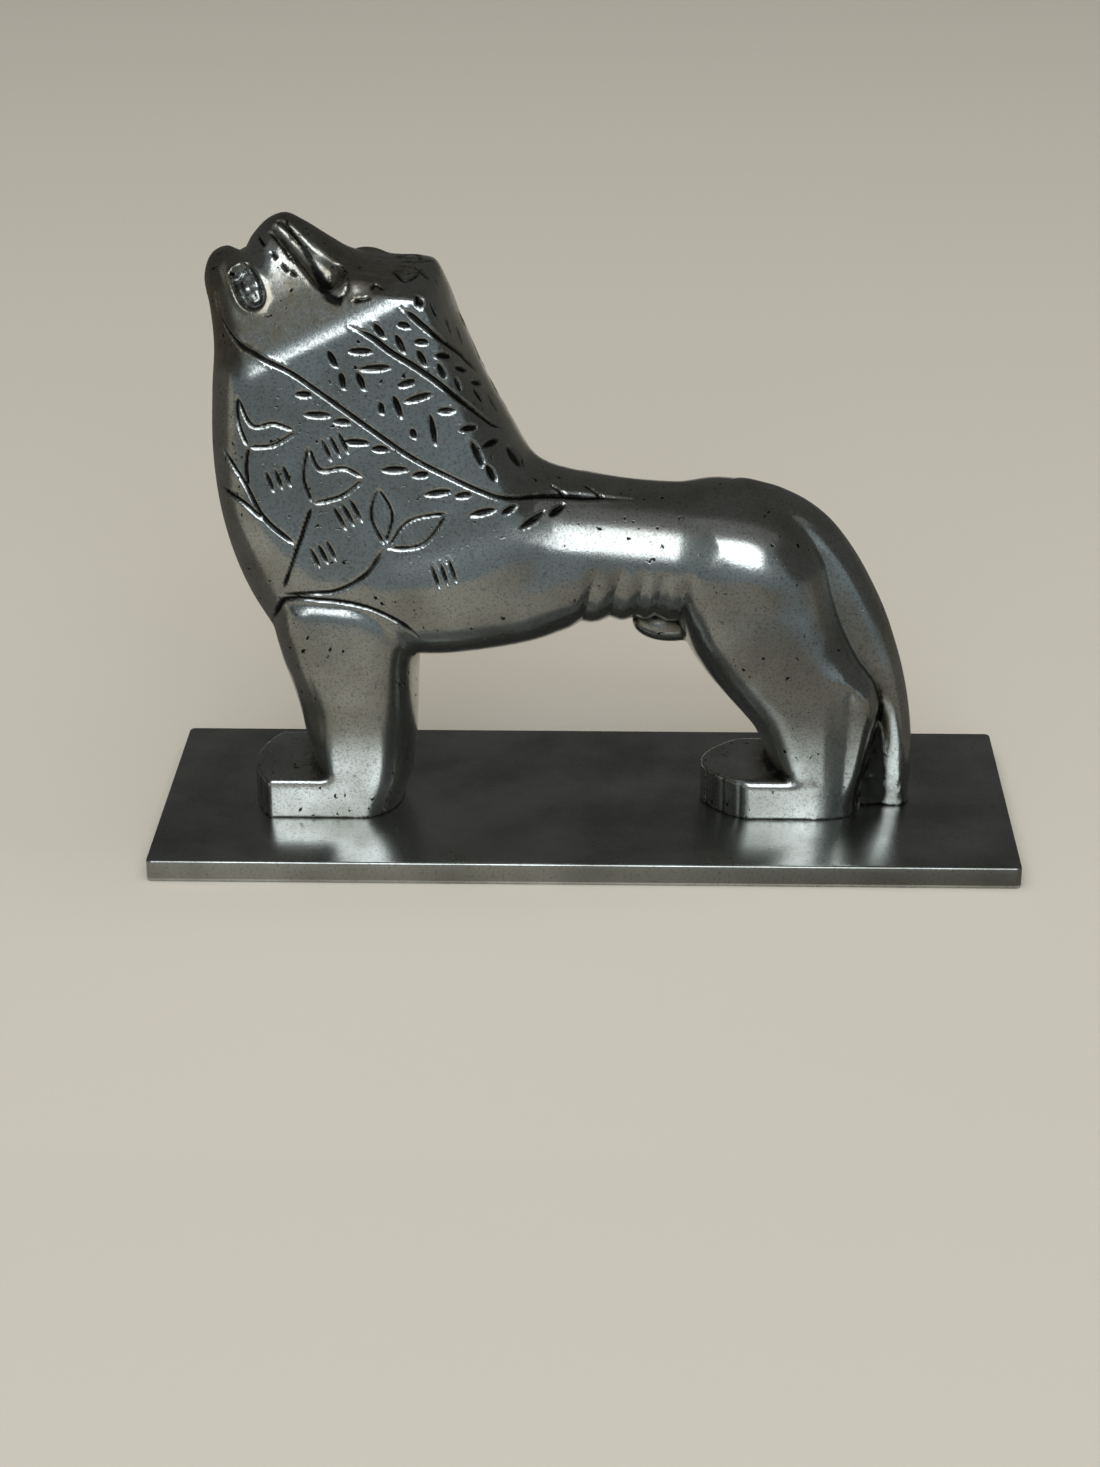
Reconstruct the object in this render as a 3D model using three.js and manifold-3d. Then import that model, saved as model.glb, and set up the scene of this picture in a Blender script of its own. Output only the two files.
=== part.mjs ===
// A standing lion with its head thrown back, cast in pewter, on a thin rectangular plate.
// Millimetres, +Z up. The lion faces -X. The origin is the middle of the plate's underside.
//
// The lion is one casting, the same on both sides of the plane Y = 0. Its main forms are outlines
// in side view, each thickened to a rounded slab. Slabs that flow into each other are meshed
// together, the rest are joined on, and the chasing is cut in last.

import * as THREE from "three";
import { mergeVertices } from "three/addons/utils/BufferGeometryUtils.js";
import Module from "manifold-3d";

const wasm = await Module();
wasm.setup();

const { lerp, smoothstep, clamp } = THREE.MathUtils;

// Driving sizes

const PLATE_LENGTH = 130;
const PLATE_WIDTH = 52;
const PLATE_THICKNESS = 3.4;
const PLATE_CORNER = 0.9; // radius of the plate's four corners, seen from above
const PLATE_EDGE = 0.3; // rounding of the plate's edges
const LION_HEIGHT = 92; // from the paws' underside to the tip of the nose
const LION_SHIFT = 0; // how far the lion stands from the plate's middle, towards +X

// The lion's pattern is drawn at PATTERN_HEIGHT, with x and z in millimetres and z = 0 at the
// paws' underside. All sizes from here on are the pattern's and grow with LION_HEIGHT.
const PATTERN_HEIGHT = 92;
const MESH_STEP = 3.9; // edge of the cells in which the casting's surface is meshed
const FACE_STEP = 2.6; // the same on the face
const MESH_SLACK = 0.06; // how far facets may be merged away from the meshed surface
const SLIVER = 0.01; // facets thinner than this are merged away at the end
const BELOW_PAWS = 4; // how far the outlines of the legs run on before they are cut flat
const OUTLINE_STEPS = 110;
const TAIL_STATIONS = 15;
const TAIL_SIDES = 10;

// Half thicknesses of the forms, across Y

const MANE_HALF = 12.4;
const BARREL_HALF = 12.2;
const WAIST_PINCH = 1.9;
const HAUNCH_HALF = 12.5;
const HIND_LEG_HALF = 9.8;
const FORELEG_TOP_HALF = 12;
const FORELEG_FOOT_HALF = 10.1;
const TAIL_TOP_HALF = 4.8;
const TAIL_FOOT_HALF = 2.7;
const TAIL_WEB_HALF = 2.5;

// The face is a wedge: past this ridge line the head narrows towards the nose.
const FACE_RIDGE = { x: -37.1, z: 78.2, angle: 0.472, taper: 0.43 };
// The hollow between the cheek and the bridge of the nose, from the nose to the eye
const BRIDGE_HOLLOW = { from: [-43.6, 92.2], to: [-37.4, 83.4], radius: [0.9, 2.3], drop: 1.5 };
const BROW = { at: [-32.2, 82.6], radii: [2.8, 1.9, 2.3], half: 7.6 };
const EYE = { at: [-35.2, 83.4], socket: [2, 1.6, 2.8], ball: [1.3, 1, 2.1], sunk: 0.5 };
const MOUTH_CORE = 4.7; // half thickness of the teeth left standing between the two mouth cuts
const SHEATH = { at: [12.9, 28.9], radii: [5.8, 3.4, 3.1] };

const PAW_HEIGHT = 6.2;
const PAW_EDGE = 0.7;
const FOREPAW = { heel: -33, corner: -48, tip: -51, half: 9.9, toes: 7 };
const HINDPAW = { heel: 36, corner: 25, tip: 17.7, half: 9.4, toes: 7 };

// Widths and depths of the chasing

const TOE_CUT = { width: 0.9, depth: 0.55 };
const STEM_CUT = { width: 1.1, depth: 0.6 };
const FINE_CUT = { width: 0.8, depth: 0.5 };
const DASH_CUT = { width: 0.75, depth: 0.5 };
const LEAF_CUT = { width: 1.3, depth: 0.65 };
const SEAM_CUT = { width: 1.2, depth: 0.7 };
const FLUTE_CUT = { width: 1.5, depth: 0.7 };
const VALLEY_CUT = { width: 3.2, depth: 1 };
const CUT_LIFT = 0.5; // how far a cutter stands out of the surface

// Outlines in side view, as [x, z]

// Head, mane and chest, from the chin over the nose, the crown and the nape
const FOREPART_OUTLINE = [
  [-55.7, 82.6], [-54.6, 85.6], [-52.5, 86.6], [-50.2, 85.9], [-48.6, 88.3], [-46.3, 91.0],
  [-43.9, 92.0], [-41.4, 90.9], [-37.3, 88.0], [-33.7, 85.6], [-28.5, 84.3], [-24.4, 83.9],
  [-21.7, 82.2], [-19.0, 76.4], [-14.6, 66.6], [-9.9, 57.8], [-6.6, 51.8], [-4.5, 44.0],
  [-7.0, 34.0], [-16.0, 28.0], [-28.0, 27.0], [-40.0, 27.0], [-46.4, 28.2], [-49.6, 32.4],
  [-52.6, 39.4], [-54.6, 48.0], [-55.4, 57.0], [-55.1, 66.0], [-54.6, 72.6], [-55.0, 78.0],
];
const BARREL_OUTLINE = [
  [-22.0, 49.0], [-7.4, 53.2], [-0.9, 52.2], [6.6, 51.1], [11.1, 50.7], [16.5, 50.4], [22.5, 49.6],
  [30.0, 47.0], [34.0, 40.0], [31.0, 33.0], [22.0, 30.3], [10.0, 29.7], [2.0, 29.4], [-1.9, 28.5],
  [-7.2, 26.6], [-16.2, 24.9], [-23.9, 24.3], [-32.0, 25.5], [-38.0, 36.0], [-32.0, 46.0],
];
const HAUNCH_OUTLINE = [
  [12.6, 43.0], [17.0, 49.8], [23.2, 50.4], [29.2, 48.5], [33.3, 45.2], [36.4, 40.6], [38.8, 35.4],
  [40.8, 30.0], [42.8, 25.6], [44.8, 21.0], [45.0, 17.5], [44.4, 14.0], [43.2, 8.0], [42.0, 2.0],
  [41.6, -BELOW_PAWS], [31.0, -BELOW_PAWS], [30.2, 3.0], [28.4, 6.6], [26.8, 10.5], [25.6, 12.9],
  [24.1, 14.8], [21.0, 18.3], [17.9, 22.1], [15.3, 26.2], [13.4, 31.0], [12.0, 37.0],
];
const FORELEG_OUTLINE = [
  [-47.4, 31.0], [-46.3, 24.5], [-44.8, 19.6], [-43.7, 15.5], [-42.8, 11.3], [-41.7, 7.6],
  [-40.8, 3.0], [-40.6, -BELOW_PAWS], [-29.4, -BELOW_PAWS], [-28.0, 1.0], [-26.8, 4.4],
  [-26.1, 8.9], [-25.8, 13.9], [-25.6, 18.9], [-25.3, 23.8], [-24.6, 28.8], [-26.4, 34.0],
  [-30.4, 37.4], [-36.0, 38.6], [-42.0, 38.8], [-46.2, 36.4],
];
// The tail's outer edge and, station by station, its inner edge inside the body
const TAIL_OUTER = [
  [22.0, 51.0], [27.5, 50.4], [30.5, 49.3], [33.5, 47.7], [36.5, 45.3], [38.9, 42.5], [41.3, 38.9],
  [43.2, 35.4], [45.3, 30.9], [47.0, 26.1], [48.4, 21.2], [49.4, 16.2], [50.0, 11.2], [50.2, 6.2],
  [49.9, 2.0], [49.8, -BELOW_PAWS],
];
const TAIL_INNER = [
  [20.0, 46.0], [25.4, 44.4], [28.0, 43.0], [30.4, 41.0], [32.6, 38.8], [34.6, 36.6], [36.6, 34.0],
  [38.4, 31.4], [40.4, 28.2], [42.2, 24.4], [43.8, 20.0], [44.9, 15.4], [45.5, 10.8], [45.7, 6.2],
  [45.7, 2.0], [45.7, -BELOW_PAWS],
];
const TAIL_WEB_OUTLINE = [
  [39.0, -BELOW_PAWS], [39.0, 12.0], [41.4, 25.0], [45.0, 24.0], [48.2, 10.0], [48.4, -BELOW_PAWS],
];
const MOUTH_OUTLINE = [
  [-52.6, 88.6], [-51.7, 85.8], [-50.8, 83.2], [-49.8, 81.0], [-48.6, 79.7], [-47.3, 80.5],
  [-47.1, 82.9], [-47.9, 86.4], [-49.0, 89.4], [-50.8, 90.0],
];

// Chased lines in side view, as [x, z]

// The three long stems of the mane, each with a row of leaves on both sides. A row lists how far
// along the stem it starts, the gap between leaves, how many there are, and by turns the leaves'
// offsets from the stem and lengths. Its leaves swing away from the stem by its angle.
const STEMS = [
  {
    line: [
      [-53.6, 81.0], [-52.8, 78.1], [-50.2, 75.1], [-46.7, 73.4], [-42.4, 71.3], [-38.2, 68.3],
      [-29.6, 61.8], [-25.3, 58.7], [-21.0, 56.3], [-12.3, 52.4], [-3.5, 50.9], [7.1, 49.8],
    ],
    rows: [
      { start: 19.2, gap: 3.4, count: 13, offsets: [-1.3, -2.6], lengths: [2.6, 4], angle: 0.62 },
      { start: 18.3, gap: 3.4, count: 11, offsets: [5, 3], lengths: [4.6, 3], angle: -0.72 },
    ],
  },
  {
    line: [
      [-33.3, 77.9], [-30.4, 76.0], [-26.5, 72.3], [-22.2, 69.2], [-17.7, 65.8], [-13.6, 62.0],
      [-11.0, 59.6],
    ],
    rows: [
      { start: 2.8, gap: 3.6, count: 7, offsets: [-2.2, -2.2], lengths: [3, 4.4], angle: 0.62 },
      { start: 3.5, gap: 3.5, count: 5, offsets: [2.2, 2.3], lengths: [3, 2.8], angle: -0.62 },
    ],
  },
  {
    line: [[-26.0, 81.1], [-23.7, 78.6], [-21.3, 75.8], [-19.3, 73.0], [-17.0, 69.4]],
    rows: [
      { start: 1.9, gap: 3.5, count: 5, offsets: [-1.9, -1.9], lengths: [2.6, 2.6], angle: 0.62 },
      { start: 1.5, gap: 2.6, count: 4, offsets: [2, 2], lengths: [2.6, 2.6], angle: -0.62 },
    ],
  },
];

// Groups of three parallel dashes: the middle of the group and the direction that they run in
const DASH_GROUPS = [
  { at: [-36.2, 60.2], run: [1.6, -3.6] },
  { at: [-44.6, 55.2], run: [1.2, -3.4] },
  { at: [-34.6, 49.8], run: [2.0, -3.8] },
  { at: [-38.4, 43.6], run: [1.5, -3.2] },
  { at: [-20.6, 40.8], run: [1.3, -3.8] },
];
const DASH_GAP = 1.35;

// Flowers on the shoulder and chest. A petal is drawn by its two edges.
const PETAL_EDGES = [
  [[-29.3, 45.0], [-31.2, 49.6], [-30.1, 53.9]],
  [[-29.3, 45.0], [-28.1, 49.8], [-30.1, 53.9]],
  [[-28.9, 44.5], [-25.8, 48.7], [-19.9, 50.1]],
  [[-28.9, 44.5], [-23.8, 45.2], [-19.9, 50.1]],
  [[-39.7, 51.4], [-40.9, 55.4], [-40.1, 60.3]],
  [[-40.1, 60.3], [-38.4, 56.6], [-35.0, 56.9], [-32.0, 55.3]],
  [[-39.7, 51.4], [-35.6, 52.6], [-32.0, 55.3]],
  [[-48.9, 60.0], [-50.2, 63.6], [-50.3, 67.6]],
  [[-48.8, 60.0], [-45.4, 60.3], [-41.7, 62.4]],
  [[-41.7, 62.4], [-45.0, 63.6], [-48.0, 63.2], [-50.3, 67.6]],
];
const FLOWER_STEMS = [
  [[-36.9, 37.7], [-32.4, 40.3], [-29.3, 44.7]],
  [[-44.8, 37.2], [-42.3, 44.1], [-39.7, 51.4]],
  [[-42.2, 44.8], [-46.9, 49.2], [-49.7, 54.5], [-52.9, 59.1]],
  [[-49.1, 54.0], [-49.3, 57.0], [-48.8, 60.0]],
  [[-47.0, 48.9], [-50.0, 51.4], [-53.4, 52.8]],
];

// Lines of the muzzle, eye and ear, and two strokes on the back behind the mane
const SHORT_LINES = [
  [[-47.8, 89.6], [-46.9, 90.2], [-46.0, 89.6], [-42.4, 85.8]],
  [[-46.0, 88.2], [-45.3, 87.2], [-43.4, 84.6]],
  [[-34.2, 81.4], [-32.6, 81.0], [-30.7, 81.2]],
  [[-30.6, 83.4], [-29.2, 82.6], [-27.6, 82.8]],
  [[-28.0, 85.2], [-25.8, 84.0], [-23.2, 85.0]],
  [[-5.4, 52.8], [-4.4, 51.9], [-3.3, 51.2]],
  [[-0.2, 53.2], [1.6, 51.9], [3.1, 50.9]],
];
// The line where the foreleg rises from the body
const FORELEG_SEAM = [
  [-47.2, 30.6], [-45.8, 33.8], [-44.6, 35.7], [-42.0, 36.4], [-39.3, 36.2], [-35.6, 35.8],
  [-31.9, 35.0], [-28.9, 33.7], [-26.7, 32.3], [-24.6, 30.0],
];
const HOCK_VALLEY = [[40.6, 24.0], [40.1, 18.0], [39.9, 11.0], [39.6, 4.0], [39.5, -2.0]];

// The folds of the waist: flutes that run from the flank down under the belly
const FLUTES = [
  [[2.1, 41.6], [1.0, 37.4], [-0.2, 31.8]],
  [[5.7, 41.8], [4.8, 37.6], [3.9, 31.8]],
  [[9.1, 41.4], [8.6, 37.6], [7.8, 32.0]],
  [[12.0, 41.2], [11.5, 37.6], [10.7, 32.2]],
  [[16.4, 40.8], [14.8, 37.0], [14.2, 32.6]],
];

// Curves and outlines

function curveThrough(points, closed = false) {
  const corners = points.map(([x, z]) => new THREE.Vector3(x, 0, z));
  return new THREE.CatmullRomCurve3(corners, closed, "centripetal");
}

// The distance from a point to a closed outline, positive inside it
function inset(loop, x, z) {
  let nearest = Infinity;
  let inside = false;
  for (let i = 0, j = loop.length - 1; i < loop.length; j = i++) {
    const a = loop[i];
    const b = loop[j];
    const abx = b.x - a.x;
    const abz = b.z - a.z;
    const along = ((x - a.x) * abx + (z - a.z) * abz) / (abx * abx + abz * abz);
    const t = clamp(along, 0, 1);
    nearest = Math.min(nearest, Math.hypot(x - a.x - t * abx, z - a.z - t * abz));
    if (a.z > z !== b.z > z && x < a.x + ((z - a.z) / abz) * abx) inside = !inside;
  }
  return inside ? nearest : -nearest;
}

// Fields: close to the distance from a surface, negative inside it

function smoothMin(a, b, blend) {
  const h = Math.max(blend - Math.abs(a - b), 0) / blend;
  return Math.min(a, b) - (h * h * blend) / 4;
}

const smoothMax = (a, b, blend) => -smoothMin(-a, -b, blend);

// An outline thickened to "half" on both sides of Y = 0, its rim rounded over the width "rim"
function slab(outline, half, rim, power = 2) {
  const loop = curveThrough(outline, true).getPoints(OUTLINE_STEPS).slice(0, -1);
  return (x, y, z) => {
    const w = half(x, z);
    const r = rim(x, z);
    const across = Math.abs(y) / w;
    const inward = Math.max(1 - inset(loop, x, z) / r, 0);
    const size = (across ** power + inward ** power) ** (1 / power);
    if (size < 0.05) return -w;
    const slope = Math.hypot((across / size) ** (power - 1) / w, (inward / size) ** (power - 1) / r);
    return (size - 1) / slope;
  };
}

function ellipsoid([cx, cy, cz], [rx, ry, rz]) {
  return (x, y, z) => {
    const u = (x - cx) / rx;
    const v = (Math.abs(y) - cy) / ry;
    const w = (z - cz) / rz;
    const size = Math.max(Math.hypot(u, v, w), 0.05);
    return (size * (size - 1)) / Math.max(Math.hypot(u / rx, v / ry, w / rz), 1e-3);
  };
}

// A round bar on both sides of Y = 0, whose radius changes along it
function taperedBar(from, to, radii) {
  const run = to.clone().sub(from);
  const point = new THREE.Vector3();
  return (x, y, z) => {
    point.set(x, Math.abs(y), z).sub(from);
    const t = clamp(point.dot(run) / run.lengthSq(), 0, 1);
    return point.addScaledVector(run, -t).length() - lerp(radii[0], radii[1], t);
  };
}

// The forms of the body

// Half width of the head and mane: flat sides of mane, and a face that narrows past its ridge
function foreHalf(x, z) {
  const { angle, taper } = FACE_RIDGE;
  const past = (z - FACE_RIDGE.z) * Math.cos(angle) - (x - FACE_RIDGE.x) * Math.sin(angle);
  const { from, to, drop } = BRIDGE_HOLLOW;
  const length = Math.hypot(to[0] - from[0], to[1] - from[1]);
  const dx = (to[0] - from[0]) / length;
  const dz = (to[1] - from[1]) / length;
  const along = (x - from[0]) * dx + (z - from[1]) * dz;
  const above = (z - from[1]) * dx - (x - from[0]) * dz;
  const bridge = smoothstep(above, -0.3, 1.2) * (1 - smoothstep(along, 0.7 * length, 1.1 * length));
  return smoothMin(MANE_HALF, MANE_HALF - taper * past, 2) - drop * bridge;
}

// The rim is widest under the chest, and tighter at the face and down the nape.
function foreRim(x, z) {
  const chest = lerp(16, 8, smoothstep(z, 32, 50));
  const nape = smoothstep(x, -38, -28) * smoothstep(z, 46, 60);
  return chest - 3 * smoothstep(z, 62, 80) - 2.5 * nape;
}

const barrelHalf = (x) => BARREL_HALF - WAIST_PINCH * Math.exp(-(((x - 8) / 12) ** 2));

const haunchHalf = (x, z) => lerp(HIND_LEG_HALF, HAUNCH_HALF, smoothstep(z, 8, 34));

const haunchRim = (x, z) => lerp(4.6, 10.5, smoothstep(z, 5, 36));

const forelegHalf = (x, z) => lerp(FORELEG_FOOT_HALF, FORELEG_TOP_HALF, smoothstep(z, 4, 32));

const forelegRim = (x, z) => lerp(5.2, 7.6, smoothstep(z, 4, 14)) - 1.6 * smoothstep(z, 26, 34);

const tailHalf = (x, z) => lerp(TAIL_FOOT_HALF, TAIL_TOP_HALF, smoothstep(z, 4, 26));

const onFace = ([x, z], outwards) => new THREE.Vector3(x, foreHalf(x, z) + outwards, z);

const forepart = slab(FOREPART_OUTLINE, foreHalf, foreRim, 2.3);
const barrel = slab(BARREL_OUTLINE, barrelHalf, () => 10.4);
const haunch = slab(HAUNCH_OUTLINE, haunchHalf, haunchRim, 2.1);
const foreleg = slab(FORELEG_OUTLINE, forelegHalf, forelegRim, 2.3);
const tail = slab([...TAIL_OUTER, ...TAIL_INNER.toReversed()], tailHalf, () => 4.4, 1.8);
const tailWeb = slab(TAIL_WEB_OUTLINE, () => TAIL_WEB_HALF, () => 1);
const sheath = ellipsoid([SHEATH.at[0], 0, SHEATH.at[1]], SHEATH.radii);
const brow = ellipsoid([BROW.at[0], BROW.half, BROW.at[1]], BROW.radii);
const hollow = taperedBar(
  onFace(BRIDGE_HOLLOW.from, 0.4),
  onFace(BRIDGE_HOLLOW.to, -0.2),
  BRIDGE_HOLLOW.radius,
);

function bodyField(x, y, z) {
  let form = smoothMin(forepart(x, y, z), barrel(x, y, z), 3);
  form = smoothMin(form, haunch(x, y, z), 3);
  if (z < 76) return form;
  form = smoothMin(form, brow(x, y, z), 1.6);
  return smoothMax(form, -hollow(x, y, z), 0.9);
}

// The joined forms, with nothing cut into them yet
function lionField(x, y, z) {
  const forms = [bodyField, foreleg, tail, tailWeb, sheath];
  return Math.min(...forms.map((form) => form(x, y, z)));
}

// Meshing

function gradient(field, p) {
  const e = 0.05;
  return new THREE.Vector3(
    field(p.x + e, p.y, p.z) - field(p.x - e, p.y, p.z),
    field(p.x, p.y + e, p.z) - field(p.x, p.y - e, p.z),
    field(p.x, p.y, p.z + e) - field(p.x, p.y, p.z - e),
  ).divideScalar(2 * e);
}

// Moves a point on to the surface.
function settle(field, p) {
  for (let round = 0; round < 4; round++) {
    const slope = gradient(field, p);
    p.addScaledVector(slope, -field(p.x, p.y, p.z) / Math.max(slope.lengthSq(), 0.05));
  }
  return p;
}

// The twelve edges of a cube, as the two corners that each one joins
const CUBE_EDGES = [];
for (const axis of [0, 1, 2])
  for (const s of [0, 1])
    for (const t of [0, 1]) {
      const start = [s, t];
      const end = [s, t];
      start.splice(axis, 0, 0);
      end.splice(axis, 0, 1);
      CUBE_EDGES.push([start, end]);
    }

// Grid lines whose step changes on the way, from runs of [start, step] and a last [end]
function gridLines(...runs) {
  const lines = [];
  runs.slice(0, -1).forEach(([start, step], i) => {
    const [end] = runs[i + 1];
    const count = Math.round((end - start) / step);
    for (let n = 0; n < count; n++) lines.push(start + (n * (end - start)) / count);
  });
  return [...lines, runs.at(-1)[0]];
}

// Grid lines across the lion: an odd number of cells, so that Y = 0 is in mid-cell
function linesAcross(half, step) {
  const cells = 2 * Math.ceil(half / step) + 1;
  return Array.from({ length: cells + 1 }, (_, n) => (n - cells / 2) * step);
}

// Meshes a field on a grid: a vertex in each cell that the surface passes through, moved on to
// the surface, and a quad across each cell edge that the surface cuts.
function meshField(field, ...lines) {
  const cells = lines.map((list) => list.length - 1);
  const at = ([i, j, k]) => i + (cells[0] + 1) * (j + (cells[1] + 1) * k);
  const place = (corner) => new THREE.Vector3(...corner.map((n, axis) => lines[axis][n]));
  const values = [];
  for (let k = 0; k <= cells[2]; k++)
    for (let j = 0; j <= cells[1]; j++)
      for (let i = 0; i <= cells[0]; i++) {
        const p = place([i, j, k]);
        values.push(field(p.x, p.y, p.z));
      }
  const isIn = (corner) => values[at(corner)] < 0;

  const vertices = [];
  const vertexOf = new Map();
  const vertexIn = (cell) => {
    const key = at(cell);
    if (!vertexOf.has(key)) {
      const sum = new THREE.Vector3();
      let crossings = 0;
      for (const edge of CUBE_EDGES) {
        const [a, b] = edge.map((corner) => corner.map((n, axis) => n + cell[axis]));
        if (isIn(a) === isIn(b)) continue;
        const t = values[at(a)] / (values[at(a)] - values[at(b)]);
        sum.add(place(a).lerp(place(b), t));
        crossings++;
      }
      vertexOf.set(key, vertices.length);
      vertices.push(settle(field, sum.divideScalar(crossings)));
    }
    return vertexOf.get(key);
  };
  const offSurface = (a, b) => {
    const middle = vertices[a].clone().lerp(vertices[b], 0.5);
    return Math.abs(field(middle.x, middle.y, middle.z));
  };

  const index = [];
  for (let k = 1; k < cells[2]; k++)
    for (let j = 1; j < cells[1]; j++)
      for (let i = 1; i < cells[0]; i++)
        for (const axis of [0, 1, 2]) {
          const corner = [i, j, k];
          const next = [i, j, k];
          next[axis]++;
          if (isIn(corner) === isIn(next)) continue;
          const round = [[0, 0], [-1, 0], [-1, -1], [0, -1]].map(([du, dv]) => {
            const cell = [i, j, k];
            cell[(axis + 1) % 3] += du;
            cell[(axis + 2) % 3] += dv;
            return vertexIn(cell);
          });
          if (!isIn(corner)) round.reverse();
          const [a, b, c, d] = round;
          if (offSurface(a, c) < offSurface(b, d)) index.push(a, b, c, a, c, d);
          else index.push(a, b, d, b, c, d);
        }
  const geometry = new THREE.BufferGeometry();
  geometry.setFromPoints(vertices);
  geometry.setIndex(index);
  return geometry;
}

// The tail: rings of the same section from station to station
function tailBand() {
  const positions = [];
  const stations = TAIL_STATIONS;
  const outer = curveThrough(TAIL_OUTER).getSpacedPoints(stations);
  const inner = curveThrough(TAIL_INNER).getSpacedPoints(stations);
  for (let i = 0; i <= stations; i++) {
    const middle = outer[i].clone().lerp(inner[i], 0.5);
    const reach = outer[i].clone().sub(middle);
    const half = tailHalf(middle.x, middle.z);
    for (let n = 0; n < TAIL_SIDES; n++) {
      const angle = (2 * Math.PI * n) / TAIL_SIDES;
      const point = middle.clone().addScaledVector(reach, Math.cos(angle));
      point.y = half * Math.sin(angle);
      positions.push(point);
    }
  }
  const index = [];
  const last = stations * TAIL_SIDES;
  for (let n = 0; n < TAIL_SIDES; n++) {
    const m = (n + 1) % TAIL_SIDES;
    for (let i = 0; i < last; i += TAIL_SIDES) {
      const next = i + TAIL_SIDES;
      index.push(i + n, next + n, i + m, i + m, next + n, next + m);
    }
    if (n > 0 && m > 0) index.push(0, n, m, last, last + m, last + n);
  }
  const geometry = new THREE.BufferGeometry();
  geometry.setFromPoints(positions);
  geometry.setIndex(index);
  return geometry;
}

// Solids

function toSolid(geometry) {
  const bare = geometry.clone();
  bare.deleteAttribute("normal");
  bare.deleteAttribute("uv");
  const merged = mergeVertices(bare, 1e-4);
  return new wasm.Manifold(
    new wasm.Mesh({
      numProp: 3,
      vertProperties: merged.attributes.position.array,
      triVerts: new Uint32Array(merged.index.array),
    }),
  );
}

function toGeometry(solid) {
  const { vertProperties, triVerts } = solid.getMesh();
  const indexed = new THREE.BufferGeometry();
  indexed.setAttribute("position", new THREE.BufferAttribute(vertProperties, 3));
  indexed.setIndex(new THREE.BufferAttribute(triVerts, 1));
  const faceted = indexed.toNonIndexed();
  faceted.computeVertexNormals();
  return faceted;
}

function mirrored(geometry) {
  const other = geometry.clone().scale(1, -1, 1);
  const { array } = other.index;
  for (let i = 0; i < array.length; i += 3) [array[i], array[i + 1]] = [array[i + 1], array[i]];
  return other;
}

// How far the surface stands from Y = 0 at a point in side view
function surfaceHalf(x, z) {
  let inside = 0;
  let outside = 16;
  for (let i = 0; i < 24; i++) {
    const y = (inside + outside) / 2;
    if (lionField(x, y, z) < 0) inside = y;
    else outside = y;
  }
  return inside;
}

// A cutter for one chisel stroke: a V that lies along a line and fades out at both ends
function strokeCutter(points, outward, { width, depth }) {
  const positions = [];
  const last = points.length - 1;
  points.forEach((p, i) => {
    if (i === 0 || i === last) {
      positions.push(p);
      return;
    }
    const tangent = points[i + 1].clone().sub(points[i - 1]).normalize();
    const out = outward(p);
    const side = out.clone().cross(tangent).normalize();
    const full = Math.min(1, 0.55 + 1.4 * Math.min(i, last - i) / last);
    const halfWidth = (full * width * (1 + CUT_LIFT / depth)) / 2;
    positions.push(
      p.clone().addScaledVector(out, CUT_LIFT).addScaledVector(side, halfWidth),
      p.clone().addScaledVector(out, 2 * CUT_LIFT),
      p.clone().addScaledVector(out, CUT_LIFT).addScaledVector(side, -halfWidth),
      p.clone().addScaledVector(out, -depth * full),
    );
  });
  const end = positions.length - 1;
  const index = [];
  for (let s = 0; s < 4; s++) {
    const t = (s + 1) % 4;
    index.push(0, 1 + t, 1 + s);
    for (let i = 1; i < last - 1; i++) {
      const a = 4 * i - 3;
      index.push(a + s, a + t, a + 4 + s, a + t, a + 4 + t, a + 4 + s);
    }
    const a = 4 * last - 7;
    index.push(end, a + s, a + t);
  }
  const geometry = new THREE.BufferGeometry();
  geometry.setFromPoints(positions);
  geometry.setIndex(index);
  return geometry;
}

// A stroke along a line given in side view, laid on the lion's surface on both sides
function strokes(line, cut, pieces = line.length - 1) {
  const onSide = curveThrough(line).getSpacedPoints(pieces);
  const points = onSide.map(({ x, z }) => new THREE.Vector3(x, surfaceHalf(x, z), z));
  const geometry = strokeCutter(points, (p) => gradient(lionField, p).normalize(), cut);
  return [geometry, mirrored(geometry)].map(toSolid);
}

function straightStroke([x, z], [runX, runZ], cut) {
  const line = [-0.5, 0, 0.5].map((t) => [x + t * runX, z + t * runZ]);
  return strokes(line, cut);
}

function leafStrokes({ line, rows }) {
  const curve = curveThrough(line);
  const length = curve.getLength();
  const leaves = rows.flatMap(({ start, gap, count, offsets, lengths, angle }) =>
    Array.from({ length: count }, (_, i) => {
      const along = clamp((start + i * gap) / length, 0, 1);
      const middle = curve.getPointAt(along);
      const tangent = curve.getTangentAt(along);
      const heading = Math.atan2(tangent.z, tangent.x);
      const offset = offsets[i % 2];
      const at = [middle.x - offset * Math.sin(heading), middle.z + offset * Math.cos(heading)];
      const run = [Math.cos(heading + angle), Math.sin(heading + angle)];
      return straightStroke(at, run.map((v) => v * lengths[i % 2]), LEAF_CUT);
    }),
  );
  return leaves.flat();
}

function dashStrokes({ at, run }) {
  const step = DASH_GAP / Math.hypot(...run);
  return [-1, 0, 1].flatMap((n) =>
    straightStroke([at[0] - n * step * run[1], at[1] + n * step * run[0]], run, DASH_CUT),
  );
}

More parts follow.
